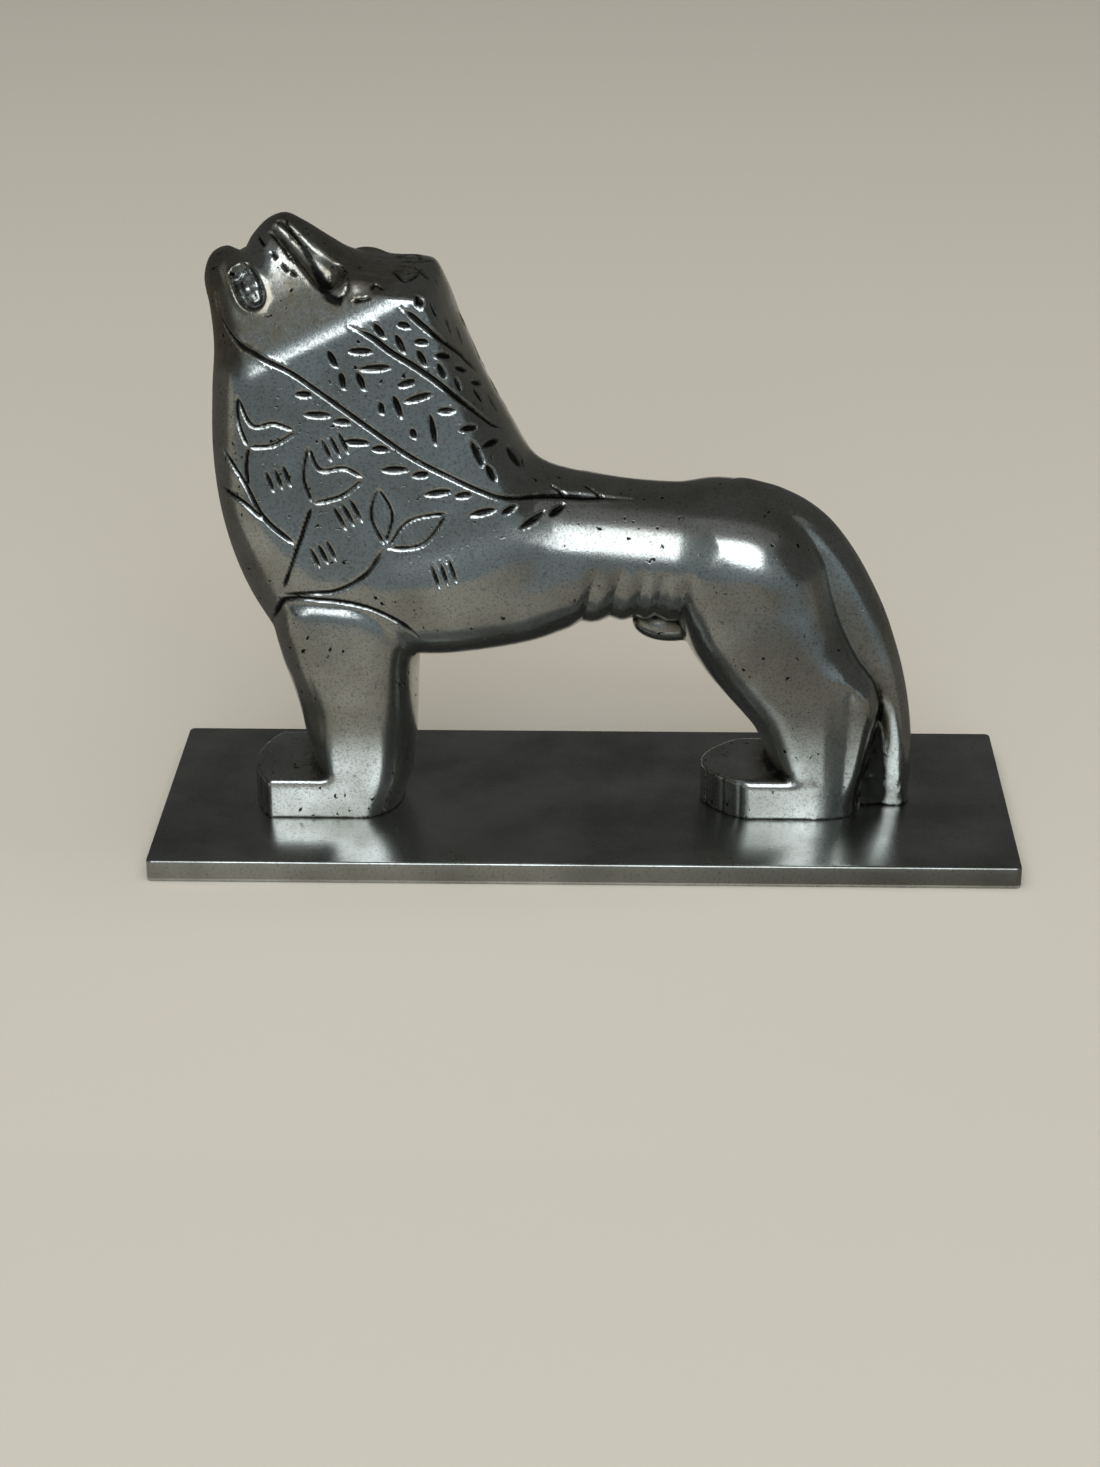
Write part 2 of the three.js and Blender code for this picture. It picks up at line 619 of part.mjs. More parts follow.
// An outline in side view made into a flat-sided block between two values of Y
function plain(outline, fromY, toY) {
  const corners = curveThrough(outline, true).getPoints(outline.length + 4);
  const shape = new THREE.Shape(corners.map(({ x, z }) => new THREE.Vector2(x, z)));
  const block = new THREE.ExtrudeGeometry(shape, { depth: toY - fromY, bevelEnabled: false });
  block.rotateX(Math.PI / 2);
  block.translate(0, toY, 0);
  return toSolid(block);
}

function ball([x, y, z], radii, segments = 8) {
  const geometry = new THREE.SphereGeometry(1, segments, Math.round(segments * 0.65));
  geometry.rotateX(Math.PI / 2);
  geometry.scale(...radii);
  geometry.translate(x, y, z);
  return toSolid(geometry);
}

const bothSides = (solid) => [solid, solid.mirror([0, 1, 0])];

// A pair of paws: one block with a bowed front, with grooves between its toes
function paws({ heel, corner, tip, half, toes }) {
  const inner = half - PAW_EDGE;
  const bow = (t) => corner + (tip - corner) * (1 - t * t);
  const shape = new THREE.Shape();
  shape.moveTo(heel, -inner);
  for (let i = 0; i <= 8; i++) {
    const t = i / 4 - 1;
    shape.lineTo(bow(Math.sin((t * Math.PI) / 2)) + PAW_EDGE, inner * Math.sin((t * Math.PI) / 2));
  }
  shape.lineTo(heel, inner);
  const block = new THREE.ExtrudeGeometry(shape, {
    depth: PAW_HEIGHT + BELOW_PAWS - 2 * PAW_EDGE,
    bevelThickness: PAW_EDGE,
    bevelSize: PAW_EDGE,
    bevelSegments: 2,
    curveSegments: 1,
    steps: 1,
  });
  block.translate(0, 0, PAW_EDGE - BELOW_PAWS);
  let solid = toSolid(block);
  for (let i = 1; i <= toes; i++) {
    const angle = (i / (toes + 1) - 0.5) * Math.PI * 0.94;
    const x = bow(Math.sin(angle));
    const y = half * Math.sin(angle);
    const out = new THREE.Vector3(-half * Math.cos(angle), (corner - tip) * Math.sin(angle), 0);
    out.normalize();
    const points = [-3, 2, PAW_HEIGHT * 0.95].map((z) => new THREE.Vector3(x, y, z));
    solid = solid.subtract(toSolid(strokeCutter(points, () => out, TOE_CUT)));
  }
  return solid;
}

function plate() {
  const halfLength = PLATE_LENGTH / 2 - PLATE_EDGE;
  const halfWidth = PLATE_WIDTH / 2 - PLATE_EDGE;
  const turn = PLATE_CORNER - PLATE_EDGE;
  const shape = new THREE.Shape();
  shape.absarc(halfLength - turn, halfWidth - turn, turn, 0, Math.PI / 2);
  shape.absarc(turn - halfLength, halfWidth - turn, turn, Math.PI / 2, Math.PI);
  shape.absarc(turn - halfLength, turn - halfWidth, turn, Math.PI, 1.5 * Math.PI);
  shape.absarc(halfLength - turn, turn - halfWidth, turn, 1.5 * Math.PI, 2 * Math.PI);
  const slabGeometry = new THREE.ExtrudeGeometry(shape, {
    depth: PLATE_THICKNESS - 2 * PLATE_EDGE,
    bevelThickness: PLATE_EDGE,
    bevelSize: PLATE_EDGE,
    bevelSegments: 1,
    curveSegments: 3,
    steps: 1,
  });
  slabGeometry.translate(0, 0, PLATE_EDGE);
  return toSolid(slabGeometry);
}

function lion() {
  const bodyGrid = [
    gridLines([-60, FACE_STEP], [-31, MESH_STEP], [50]),
    linesAcross(14, MESH_STEP * 0.8),
    gridLines([-3 * BELOW_PAWS, MESH_STEP], [77, FACE_STEP], [96]),
  ];
  const legGrid = [
    gridLines([-52, MESH_STEP * 0.8], [-20]),
    linesAcross(14, MESH_STEP * 0.8),
    gridLines([-3 * BELOW_PAWS, MESH_STEP], [42]),
  ];
  const forms = [
    toSolid(meshField(bodyField, ...bodyGrid)).simplify(MESH_SLACK),
    toSolid(meshField(foreleg, ...legGrid)).simplify(MESH_SLACK),
    toSolid(tailBand()),
    plain(TAIL_WEB_OUTLINE, -TAIL_WEB_HALF, TAIL_WEB_HALF),
    ball([SHEATH.at[0], 0, SHEATH.at[1]], SHEATH.radii),
    paws(FOREPAW),
    paws(HINDPAW),
  ];
  let solid = wasm.Manifold.union(forms);

  const [eyeX, eyeZ] = EYE.at;
  const eyeHalf = surfaceHalf(eyeX, eyeZ);
  const cutters = [
    ...STEMS.flatMap(({ line }) => strokes(line, STEM_CUT, line.length)),
    ...STEMS.flatMap(leafStrokes),
    ...DASH_GROUPS.flatMap(dashStrokes),
    ...PETAL_EDGES.flatMap((line) => strokes(line, FINE_CUT)),
    ...FLOWER_STEMS.flatMap((line) => strokes(line, STEM_CUT)),
    ...SHORT_LINES.flatMap((line) => strokes(line, FINE_CUT)),
    ...strokes(FORELEG_SEAM, SEAM_CUT, 7),
    ...FLUTES.flatMap((line) => strokes(line, FLUTE_CUT)),
    ...strokes(HOCK_VALLEY, VALLEY_CUT, 3),
    ...bothSides(ball([eyeX, eyeHalf, eyeZ], EYE.socket)),
    ...bothSides(plain(MOUTH_OUTLINE, MOUTH_CORE, MANE_HALF)),
  ];
  for (const cutter of cutters) solid = solid.subtract(cutter);
  const eyeball = ball([eyeX, eyeHalf - EYE.sunk - EYE.ball[1], eyeZ], EYE.ball, 6);
  for (const one of bothSides(eyeball)) solid = solid.add(one);
  const below = new THREE.BoxGeometry(200, 100, 50).translate(0, 0, -25);
  return solid.subtract(toSolid(below)).simplify(SLIVER);
}

// The object

const object = new THREE.Group();

function addPart(name, solid, material) {
  const mesh = new THREE.Mesh(toGeometry(solid), material);
  mesh.name = name;
  object.add(mesh);
}

const castPewter = new THREE.MeshStandardMaterial({ color: 0x8f9190, metalness: 1, roughness: 0.3 });
const platePewter = new THREE.MeshStandardMaterial({ color: 0x858786, metalness: 1, roughness: 0.35 });

const scaledLion = lion().scale(LION_HEIGHT / PATTERN_HEIGHT);
addPart("base_plate", plate(), platePewter);
addPart("lion", scaledLion.translate([LION_SHIFT, 0, PLATE_THICKNESS]), castPewter);

export default object;
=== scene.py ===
"""The looks of a small cast pewter lion on a plate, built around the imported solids.

The lion is meshed anew from the forms that its solid has, with the fine chasing that the solid
leaves out. Sizes are in millimetres in the lion's own pattern, with z = 0 at its paws' underside,
and are turned to metres where the mesh is made.
"""

from math import cos, pi, radians, sin

import bmesh
import bpy
import numpy as np
from mathutils import Matrix, Vector


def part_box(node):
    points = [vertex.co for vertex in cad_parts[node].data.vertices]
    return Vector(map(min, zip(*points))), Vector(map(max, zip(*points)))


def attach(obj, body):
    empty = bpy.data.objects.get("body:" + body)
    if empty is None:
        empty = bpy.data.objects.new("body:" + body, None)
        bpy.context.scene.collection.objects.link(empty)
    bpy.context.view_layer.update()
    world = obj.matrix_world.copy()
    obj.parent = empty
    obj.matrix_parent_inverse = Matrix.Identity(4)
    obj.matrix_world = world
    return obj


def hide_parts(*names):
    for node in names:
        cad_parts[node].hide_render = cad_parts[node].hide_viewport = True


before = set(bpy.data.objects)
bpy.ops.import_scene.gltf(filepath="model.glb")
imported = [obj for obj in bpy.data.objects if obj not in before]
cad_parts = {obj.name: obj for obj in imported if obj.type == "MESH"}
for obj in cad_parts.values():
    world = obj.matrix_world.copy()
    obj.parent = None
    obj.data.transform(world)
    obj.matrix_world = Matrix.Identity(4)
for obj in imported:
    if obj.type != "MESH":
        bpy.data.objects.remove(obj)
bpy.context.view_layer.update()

MM = 0.001

# The camera, solved from the plate's corners in the photograph

CAMERA_AZIMUTH = radians(1.74)
CAMERA_ELEVATION = radians(22.5)
CAMERA_ROLL = radians(-0.23)
CAMERA_DISTANCE = 504.1 * MM
CAMERA_TARGET = Vector((-5.49, 0, 13.58)) * MM
CAMERA_LENS = 80.17

# The lion's forms in side view, as [x, z]. They are the solid's, so that the mesh lies on it.

PATTERN_TOP = 91.65  # height of the nose above the paws' underside
BELOW_PAWS = 4.0  # how far the outlines of the legs run on before they are cut flat
INTO_PLATE = 0.2  # how far the mesh's underside lies in the plate

FOREPART_OUTLINE = [
    [-55.7, 82.6], [-54.6, 85.6], [-52.5, 86.6], [-50.2, 85.9], [-48.6, 88.3], [-46.3, 90.7],
    [-43.9, 91.6], [-41.4, 90.7], [-37.3, 88.0], [-33.7, 85.6], [-28.5, 84.3], [-24.4, 83.9],
    [-22.1, 83.1], [-20.6, 80.6], [-18.8, 76.0], [-14.6, 66.6], [-9.9, 57.8], [-6.6, 51.8], [-4.5, 44.0],
    [-7.0, 34.0], [-16.0, 28.0], [-28.0, 27.0], [-40.0, 27.0], [-46.4, 28.2], [-49.6, 32.4],
    [-52.6, 39.4], [-54.6, 48.0], [-55.4, 57.0], [-55.1, 66.0], [-54.6, 72.6], [-55.0, 78.0],
]
BARREL_OUTLINE = [
    [-22.0, 49.0], [-7.4, 53.2], [-0.9, 52.2], [6.6, 51.1], [11.1, 50.7], [16.5, 50.4],
    [22.5, 49.6], [30.0, 47.0], [34.0, 40.0], [31.0, 33.0], [22.0, 30.3], [10.0, 29.7],
    [2.0, 29.4], [-1.9, 28.5], [-7.2, 26.6], [-16.2, 24.9], [-23.9, 24.3], [-32.0, 25.5],
    [-38.0, 36.0], [-32.0, 46.0],
]
HAUNCH_OUTLINE = [
    [12.6, 43.0], [17.0, 49.8], [23.2, 50.4], [29.2, 48.5], [33.3, 45.2], [36.4, 40.6],
    [37.8, 35.4], [39.4, 30.4], [41.4, 25.8], [44.3, 21.0], [45.0, 17.5], [44.4, 14.0],
    [43.2, 8.0], [42.0, 2.0], [41.6, -BELOW_PAWS], [31.0, -BELOW_PAWS], [30.2, 3.0],
    [28.4, 6.6], [26.8, 10.5], [25.6, 12.9], [24.1, 14.8], [21.0, 18.3], [17.9, 22.1],
    [15.3, 26.2], [13.4, 31.0], [12.0, 37.0],
]
FORELEG_OUTLINE = [
    [-47.4, 31.0], [-46.3, 24.5], [-44.8, 19.6], [-43.7, 15.5], [-42.8, 11.3], [-41.7, 7.6],
    [-40.8, 3.0], [-40.6, -BELOW_PAWS], [-29.4, -BELOW_PAWS], [-28.0, 1.0], [-26.8, 4.4],
    [-26.1, 8.9], [-25.8, 13.9], [-25.6, 18.9], [-25.3, 23.8], [-24.6, 28.8], [-26.4, 34.0],
    [-30.4, 37.4], [-36.0, 38.6], [-42.0, 38.8], [-46.2, 36.4],
]
TAIL_OUTLINE = [
    [22.0, 51.0], [27.5, 50.4], [30.5, 49.3], [33.5, 47.7], [36.5, 45.3], [38.9, 42.5],
    [41.3, 38.9], [43.2, 35.4], [45.3, 30.9], [47.0, 26.1], [48.4, 21.2], [49.4, 16.2],
    [50.0, 11.2], [50.2, 6.2], [49.9, 2.0], [49.8, -BELOW_PAWS], [44.9, -BELOW_PAWS],
    [44.9, 2.0], [44.9, 6.2], [44.8, 10.8], [43.9, 15.4], [41.6, 20.0], [38.4, 24.4],
    [36.2, 28.2], [34.2, 31.4], [32.4, 34.0], [30.6, 36.6], [29.0, 38.8], [27.4, 41.0],
    [25.6, 43.0], [23.6, 44.4], [20.0, 46.0],
]
TAIL_WEB_OUTLINE = [
    [39.0, -BELOW_PAWS], [39.0, 12.0], [41.4, 25.0], [45.0, 24.0], [48.2, 10.0],
    [48.4, -BELOW_PAWS],
]
MOUTH_OUTLINE = [
    [-51.4, 83.9], [-50.2, 84.6], [-48.6, 85.1], [-47.4, 84.2], [-46.4, 82.6], [-46.1, 81.0],
    [-46.7, 79.8], [-47.9, 79.3], [-48.9, 79.5], [-50.0, 80.5], [-50.9, 82.4],
]
TEETH_OUTLINE = [
    [-50.2, 84.1], [-48.6, 84.5], [-47.6, 83.6], [-46.9, 82.0], [-46.9, 80.7], [-47.8, 80.2],
    [-48.9, 80.7], [-49.6, 82.2],
]

# The face is a wedge: past this ridge line, which leans by an angle in radians, it narrows.
FACE_RIDGE = {"x": -37.1, "z": 77.8, "angle": 0.454}
# The mane's side rolls over towards the ridge, and the cheek slopes away past it.
MANE_ROLL = {"reach": 3, "bend": 0.07}
CHEEK = {"reach": 6, "slope_near": 0.56, "slope_far": 0.44}
MUZZLE = {"at": (-46.6, 87.0), "reach": (3, 3.3), "swell": 0.7}
BRIDGE_HOLLOW = {"from": (-43.6, 92.2), "to": (-37.4, 83.4), "drop": 1.5}
MANE_HALF = 12.4
NOSE_HALF = 1.2  # the least half width of the face
PAWS_TOP = 6.2
CORE = 0.05  # the share of a form round its middle where its slope isn't taken


# Small helpers

def smoothstep(value, start, end):
    t = np.clip((value - start) / (end - start), 0, 1)
    return t * t * (3 - 2 * t)


def mix(a, b, t):
    return a + (b - a) * t


def graded(place, low, high):
    """A size that goes smoothly from one [place, size] to another."""
    return mix(low[1], high[1], smoothstep(place, low[0], high[0]))


def smooth_min(a, b, blend):
    h = np.maximum(blend - np.abs(a - b), 0) / blend
    return np.minimum(a, b) - h * h * blend / 4


def smooth_max(a, b, blend):
    return -smooth_min(-a, -b, blend)


def curve_through(corners, closed=False, steps=12):
    """A smooth curve through corners, as points: a centripetal Catmull-Rom spline."""
    corners = np.array(corners, float)
    if closed:
        knots = np.vstack([corners[-1:], corners, corners[:2]])
    else:
        knots = np.vstack([2 * corners[0] - corners[1], corners, 2 * corners[-1] - corners[-2]])
    spans = np.sqrt(np.linalg.norm(np.diff(knots, axis=0), axis=1))
    t = np.arange(steps)[:, None] / steps
    pieces = []
    for i in range(1, len(knots) - 2):
        p0, p1, p2, p3 = knots[i - 1 : i + 3]
        s0, s1, s2 = spans[i - 1 : i + 2]
        m1 = ((p1 - p0) / s0 - (p2 - p0) / (s0 + s1) + (p2 - p1) / s1) * s1
        m2 = ((p2 - p1) / s1 - (p3 - p1) / (s1 + s2) + (p3 - p2) / s2) * s1
        cubic = (2 * p1 - 2 * p2 + m1 + m2) * t**3 + (3 * p2 - 3 * p1 - 2 * m1 - m2) * t**2
        pieces.append(cubic + m1 * t + p1)
    if not closed:
        pieces.append(corners[-1:])
    return np.vstack(pieces)


# Maps: values on a fine grid over a flat view, read back smoothly at any point

class Map:
    """A grid of values over a rectangle of a flat view."""

    def __init__(self, low, high, step):
        self.low, self.step = np.array(low, float), step
        counts = [int((b - a) / step) + 1 for a, b in zip(low, high)]
        self.u = low[0] + step * np.arange(counts[0])[:, None]
        self.v = low[1] + step * np.arange(counts[1])[None, :]
        self.values = np.zeros(counts)

    def at(self, u, v):
        """The values at points, by cubic interpolation both ways."""
        cells, weights = [], []
        for axis, place in enumerate((u, v)):
            place = (np.asarray(place, float) - self.low[axis]) / self.step
            cell = np.clip(np.floor(place).astype(int), 1, self.values.shape[axis] - 3)
            t = np.clip(place - cell, 0, 1)
            cells.append(cell)
            weights.append((
                ((2 - t) * t - 1) * t / 2,
                ((3 * t - 5) * t * t + 2) / 2,
                ((4 - 3 * t) * t + 1) * t / 2,
                (t - 1) * t * t / 2,
            ))
        total = 0
        for a in range(4):
            for b in range(4):
                value = self.values[cells[0] + a - 1, cells[1] + b - 1]
                total = total + weights[0][a] * weights[1][b] * value
        return total


def inset(loop, u, v):
    """The distance from points to a closed outline, positive inside it."""
    nearest = np.full(np.broadcast(u, v).shape, np.inf)
    inside = np.zeros(nearest.shape, bool)
    for a, b in zip(loop, np.roll(loop, -1, axis=0)):
        run = b - a
        along = ((u - a[0]) * run[0] + (v - a[1]) * run[1]) / (run @ run)
        t = np.clip(along, 0, 1)
        away = (u - a[0] - t * run[0]) ** 2 + (v - a[1] - t * run[1]) ** 2
        nearest = np.minimum(nearest, away)
        if a[1] != b[1]:
            crossed = (a[1] > v) != (b[1] > v)
            inside ^= crossed & (u < a[0] + (v - a[1]) / run[1] * run[0])
    return np.where(inside, 1, -1) * np.sqrt(nearest)


def inset_map(outline, low=(-62, -16), high=(58, 100), step=0.4):
    result = Map(low, high, step)
    result.values = inset(curve_through(outline, closed=True), result.u, result.v)
    return result


# Fields: close to the distance from a surface, negative inside it

def slab(outline, half, rim, power=2.0):
    """An outline thickened to "half" on both sides of Y = 0, its rim rounded over "rim"."""
    distance = inset_map(outline)

    def field(x, y, z):
        w, r = half(x, z), rim(x, z)
        across = np.abs(y) / w
        inward = np.maximum(1 - distance.at(x, z) / r, 0)
        size = (across**power + inward**power) ** (1 / power)
        safe = np.maximum(size, CORE)
        slope = np.hypot((across / safe) ** (power - 1) / w, (inward / safe) ** (power - 1) / r)
        return np.where(size < CORE, -w, (safe - 1) / np.maximum(slope, 1e-4))

    return field


def ellipsoid(centre, radii):
    """A form on both sides of Y = 0."""
    cx, cy, cz = centre
    rx, ry, rz = radii

    def field(x, y, z):
        u, v, w = (x - cx) / rx, (np.abs(y) - cy) / ry, (z - cz) / rz
        size = np.maximum(np.sqrt(u * u + v * v + w * w), CORE)
        slope = np.sqrt((u / rx) ** 2 + (v / ry) ** 2 + (w / rz) ** 2)
        return size * (size - 1) / np.maximum(slope, 1e-3)

    return field


def tapered_bar(start, end, radii):
    """A round bar on both sides of Y = 0, with a radius for each end."""
    run = end - start

    def field(x, y, z):
        px, py, pz = x - start[0], np.abs(y) - start[1], z - start[2]
        t = np.clip((px * run[0] + py * run[1] + pz * run[2]) / (run @ run), 0, 1)
        away = (px - t * run[0]) ** 2 + (py - t * run[1]) ** 2 + (pz - t * run[2]) ** 2
        return np.sqrt(away) - mix(*radii, t)

    return field


# The forms of the body

def fore_half(x, z):
    """Half width of head and mane: flat sides of mane, and a face that narrows past its ridge."""
    ridge = FACE_RIDGE
    past = (z - ridge["z"]) * cos(ridge["angle"]) - (x - ridge["x"]) * sin(ridge["angle"])
    start, end = np.array(BRIDGE_HOLLOW["from"]), np.array(BRIDGE_HOLLOW["to"])
    length = np.linalg.norm(end - start)
    dx, dz = (end - start) / length
    along = (x - start[0]) * dx + (z - start[1]) * dz
    above = (z - start[1]) * dx - (x - start[0]) * dz
    bridge = smoothstep(above, -0.3, 1.2) * (1 - smoothstep(along, 0.7 * length, 1.1 * length))
    roll = MANE_ROLL["bend"] * np.clip(past + MANE_ROLL["reach"], 0, MANE_ROLL["reach"]) ** 2
    cheek = CHEEK["slope_near"] * np.clip(past, 0, CHEEK["reach"])
    cheek = cheek + CHEEK["slope_far"] * np.maximum(past - CHEEK["reach"], 0)
    u = (x - MUZZLE["at"][0]) / MUZZLE["reach"][0]
    v = (z - MUZZLE["at"][1]) / MUZZLE["reach"][1]
    muzzle = MUZZLE["swell"] * np.exp(-u * u - v * v)
    width = MANE_HALF - roll - cheek + muzzle
    return np.maximum(width - BRIDGE_HOLLOW["drop"] * bridge, NOSE_HALF)


def fore_rim(x, z):
    """Widest on the chest, and narrower up the mane, on the nape and on the face."""
    chest = graded(z, (32, 16), (50, 8))
    face = 3 * smoothstep(z, 62, 80)
    nape = 2.5 * smoothstep(x, -38, -28) * smoothstep(z, 46, 60)
    return chest - face - nape


def barrel_half(x, z):
    """Drawn in at the waist."""
    waist = 1.9 * np.exp(-(((x - 8) / 12) ** 2))
    return 12.2 - waist


def haunch_half(x, z):
    """Full at the thigh and slim at the foot, with a hollow before the tendon."""
    tendon = 0.9 * smoothstep(x, 35.6, 38.6) * (1 - smoothstep(z, 18, 30))
    return graded(z, (8, 9.8), (34, 12.5)) - tendon


def haunch_rim(x, z):
    behind = smoothstep(x, 35, 39) * (1 - smoothstep(z, 18, 32))
    return mix(graded(z, (5, 5.0), (36, 10.5)), 2.9, behind)


def foreleg_half(x, z):
    return graded(z, (4, 10.3), (32, 12.0))


def foreleg_rim(x, z):
    """Sharper in front than behind at the foot, and sharper again where it meets the chest."""
    foot = graded(x, (-36.5, 4.6), (-32.5, 8.0))
    shoulder = 1.6 * smoothstep(z, 26, 34)
    return mix(foot, 7.6, smoothstep(z, 6, 18)) - shoulder


def tail_half(x, z):
    return graded(z, (4, 3.3), (24, 5.4))


def tail_rim(x, z):
    return graded(z, (8, 2.3), (28, 3.2))


# The last number is how square the section is: 2 is an ellipse.
FOREPART = slab(FOREPART_OUTLINE, fore_half, fore_rim, 2.3)
BARREL = slab(BARREL_OUTLINE, barrel_half, lambda x, z: 10.4)
HAUNCH = slab(HAUNCH_OUTLINE, haunch_half, haunch_rim, 2.1)
FORELEG = slab(FORELEG_OUTLINE, foreleg_half, foreleg_rim, 2.3)
TAIL = slab(TAIL_OUTLINE, tail_half, tail_rim, 2.1)
TAIL_WEB = slab(TAIL_WEB_OUTLINE, lambda x, z: 3.2, lambda x, z: 0.8)
# The sheath under the belly, the brow, and the hollow beside the bridge of the nose
SHEATH = ellipsoid((12.9, 0, 28.9), (5.8, 3.4, 3.1))
BROW = ellipsoid((-32.6, 8.1, 82.9), (2.5, 1.7, 1.6))
HOLLOW = tapered_bar(np.array([-43.8, 3.8, 90.3]), np.array([-37.0, 7.4, 84.4]), (1.2, 2.3))

# The paws: blocks with a bowed front and rolled toes, drawn from above as [x, y]

FOREPAW = {"heel": -35.0, "corner": -48.0, "tip": -51.0, "half": 10.3, "toes": 7}
HINDPAW = {"heel": 35.6, "corner": 25.0, "tip": 17.7, "half": 9.8, "toes": 7}
FOREFOOT_HALF = 9.9  # the flat side that paw and leg share
HINDFOOT_HALF = 9.4
TOE_GROOVE = 0.65  # half width of the groove between two toes
TOE_DEPTH = 0.8
BOW_STEPS = 25
TOE_SPREAD = 0.94  # the share of the half circle in front that the grooves take up
PAW_EDGE = 0.9
PAW_FILLET = 1.2
PAW_MARGIN = 4  # how far the paw's maps reach past it
PAW_REACH = 14
PAW_STEP = 0.2
SIDE_TOP = 30  # where the flat side of paw and leg has run out
SIDE_RISE = 3


def rolled(away, reach):
    """A groove between two rolls, from 1 in its middle to 0 where the rolls are highest."""
    t = np.clip(1 - away / reach, 0, 1)
    return 1 - np.sqrt(np.maximum(1 - t * t, 0))


TOE_MAPS = []  # the depths of the grooves between toes, for their dark patina


def paw(heel, corner, tip, half, toes):
    """A block from heel to corner with a bowed front that reaches to the tip."""
    turn = np.linspace(-pi / 2, pi / 2, BOW_STEPS)
    bow = np.stack([corner + (tip - corner) * np.cos(turn) ** 2, half * np.sin(turn)], axis=1)
    loop = np.vstack([[[heel, -half]], bow, [[heel, half]]])
    low, high = (tip - PAW_MARGIN, -PAW_REACH), (heel + PAW_MARGIN, PAW_REACH)
    edge = Map(low, high, PAW_STEP)
    edge.values = inset(loop, edge.u, edge.v)
    grooves = Map(low, high, PAW_STEP)
    angles = (np.arange(1, toes + 1) / (toes + 1) - 0.5) * pi * TOE_SPREAD
    for angle in angles:
        x = corner + (tip - corner) * cos(angle) ** 2
        away = np.hypot(grooves.u - x, grooves.v - half * sin(angle))
        grooves.values = np.maximum(grooves.values, TOE_DEPTH * rolled(away, TOE_GROOVE))
    TOE_MAPS.append(grooves)

    def field(x, y, z):
        side = -edge.at(x, y) + grooves.at(x, y)
        return smooth_max(side, z - PAWS_TOP, PAW_EDGE)

    return field


def foot(leg, paws, half, edge):
    """A leg on its paw, both filed to one flat side that runs out up the leg."""

    def field(x, y, z):
        form = smooth_min(leg(x, y, z), paws(x, y, z), PAW_FILLET)
        side = np.abs(y) - half - SIDE_RISE * smoothstep(z, PAWS_TOP, SIDE_TOP)
        return smooth_max(form, side, edge)

    return field


# The last number is how much the edge of the flat side is eased.
FORE_FOOT = foot(FORELEG, paw(**FOREPAW), FOREFOOT_HALF, 0.5)
HIND_FOOT = foot(HAUNCH, paw(**HINDPAW), HINDFOOT_HALF, 1.6)


# The folds of the waist: grooves between rolls that run from the flank down round the belly

FOLDS = [
    [[2.1, 41.6], [1.0, 37.4], [-0.2, 31.8], [-1.2, 27.0]],
    [[5.7, 41.8], [4.8, 37.6], [3.9, 31.8], [3.2, 27.0]],
    [[9.1, 41.4], [8.6, 37.6], [7.8, 32.0], [7.1, 27.0]],
    [[12.0, 41.2], [11.5, 37.6], [10.7, 32.2], [10.0, 27.0]],
    [[16.4, 40.8], [14.8, 37.0], [14.2, 32.6], [13.9, 29.0]],
]
FOLD_REACH = 1.8
FOLD_DEPTH = 0.6
FOLD_SHARPNESS = 1.5
FOLD_FADE = 0.3  # the share of its length over which a fold or the valley deepens
HOCK_VALLEY = [[40.9, 27.0], [40.2, 19.7], [39.9, 12.0], [39.6, 4.0], [39.5, -3.0]]
HOCK_REACH = 1.9
HOCK_DEPTH = 0.4


def along_line(line, u, v):
    """The distance from points to a line of points, and how far along it, from 0 to 1."""
    lengths = np.linalg.norm(np.diff(line, axis=0), axis=1)
    starts = np.concatenate([[0], np.cumsum(lengths)])
    nearest = np.full(np.broadcast(u, v).shape, np.inf)
    place = np.zeros(nearest.shape)
    for a, b, length, start in zip(line, line[1:], lengths, starts):
        run = b - a
        t = np.clip(((u - a[0]) * run[0] + (v - a[1]) * run[1]) / (run @ run), 0, 1)
        away = np.hypot(u - a[0] - t * run[0], v - a[1] - t * run[1])
        place = np.where(away < nearest, (start + t * length) / starts[-1], place)
        nearest = np.minimum(nearest, away)
    return nearest, place


def fold_map():
    """How deep the folds, and the shallow valley down the hock, lie in the side."""
    result = Map((-8, -8), (46, 56), 0.25)
    for line in FOLDS:
        away, place = along_line(curve_through(line, steps=6), result.u, result.v)
        fade = smoothstep(place, 0, FOLD_FADE)
        groove = (1 - np.clip(away / FOLD_REACH, 0, 1)) ** FOLD_SHARPNESS
        result.values = np.maximum(result.values, FOLD_DEPTH * fade * groove)
    away, place = along_line(curve_through(HOCK_VALLEY, steps=6), result.u, result.v)
    fade = smoothstep(place, 0, FOLD_FADE)
    valley = HOCK_DEPTH * fade * (1 - smoothstep(away, 0, HOCK_REACH))
    result.values = np.maximum(result.values, valley)
    return result


FOLD_MAP = fold_map()


# The whole lion, before it is chased

BODY_FILLET = 3
BROW_FILLET = 1.6
HOLLOW_EDGE = 1.0


def body_field(x, y, z):
    form = smooth_min(FOREPART(x, y, z), BARREL(x, y, z), BODY_FILLET)
    form = smooth_min(form, HIND_FOOT(x, y, z), BODY_FILLET)
    form = smooth_min(form, BROW(x, y, z), BROW_FILLET)
    form = smooth_max(form, -HOLLOW(x, y, z), HOLLOW_EDGE)
    on_folds = (x > -6) & (x < 44) & (z > -6) & (z < 54)
    return form + np.where(on_folds, FOLD_MAP.at(x, z), 0)


def lion_forms(x, y, z):
    """The body and what grows out of it, each with the width of the fillet that joins it."""
    return [
        (body_field(x, y, z), 0),
        (FORE_FOOT(x, y, z), 0.7),
        (TAIL(x, y, z), 0.45),
        (TAIL_WEB(x, y, z), 0.6),
        (SHEATH(x, y, z), 0.8),
    ]


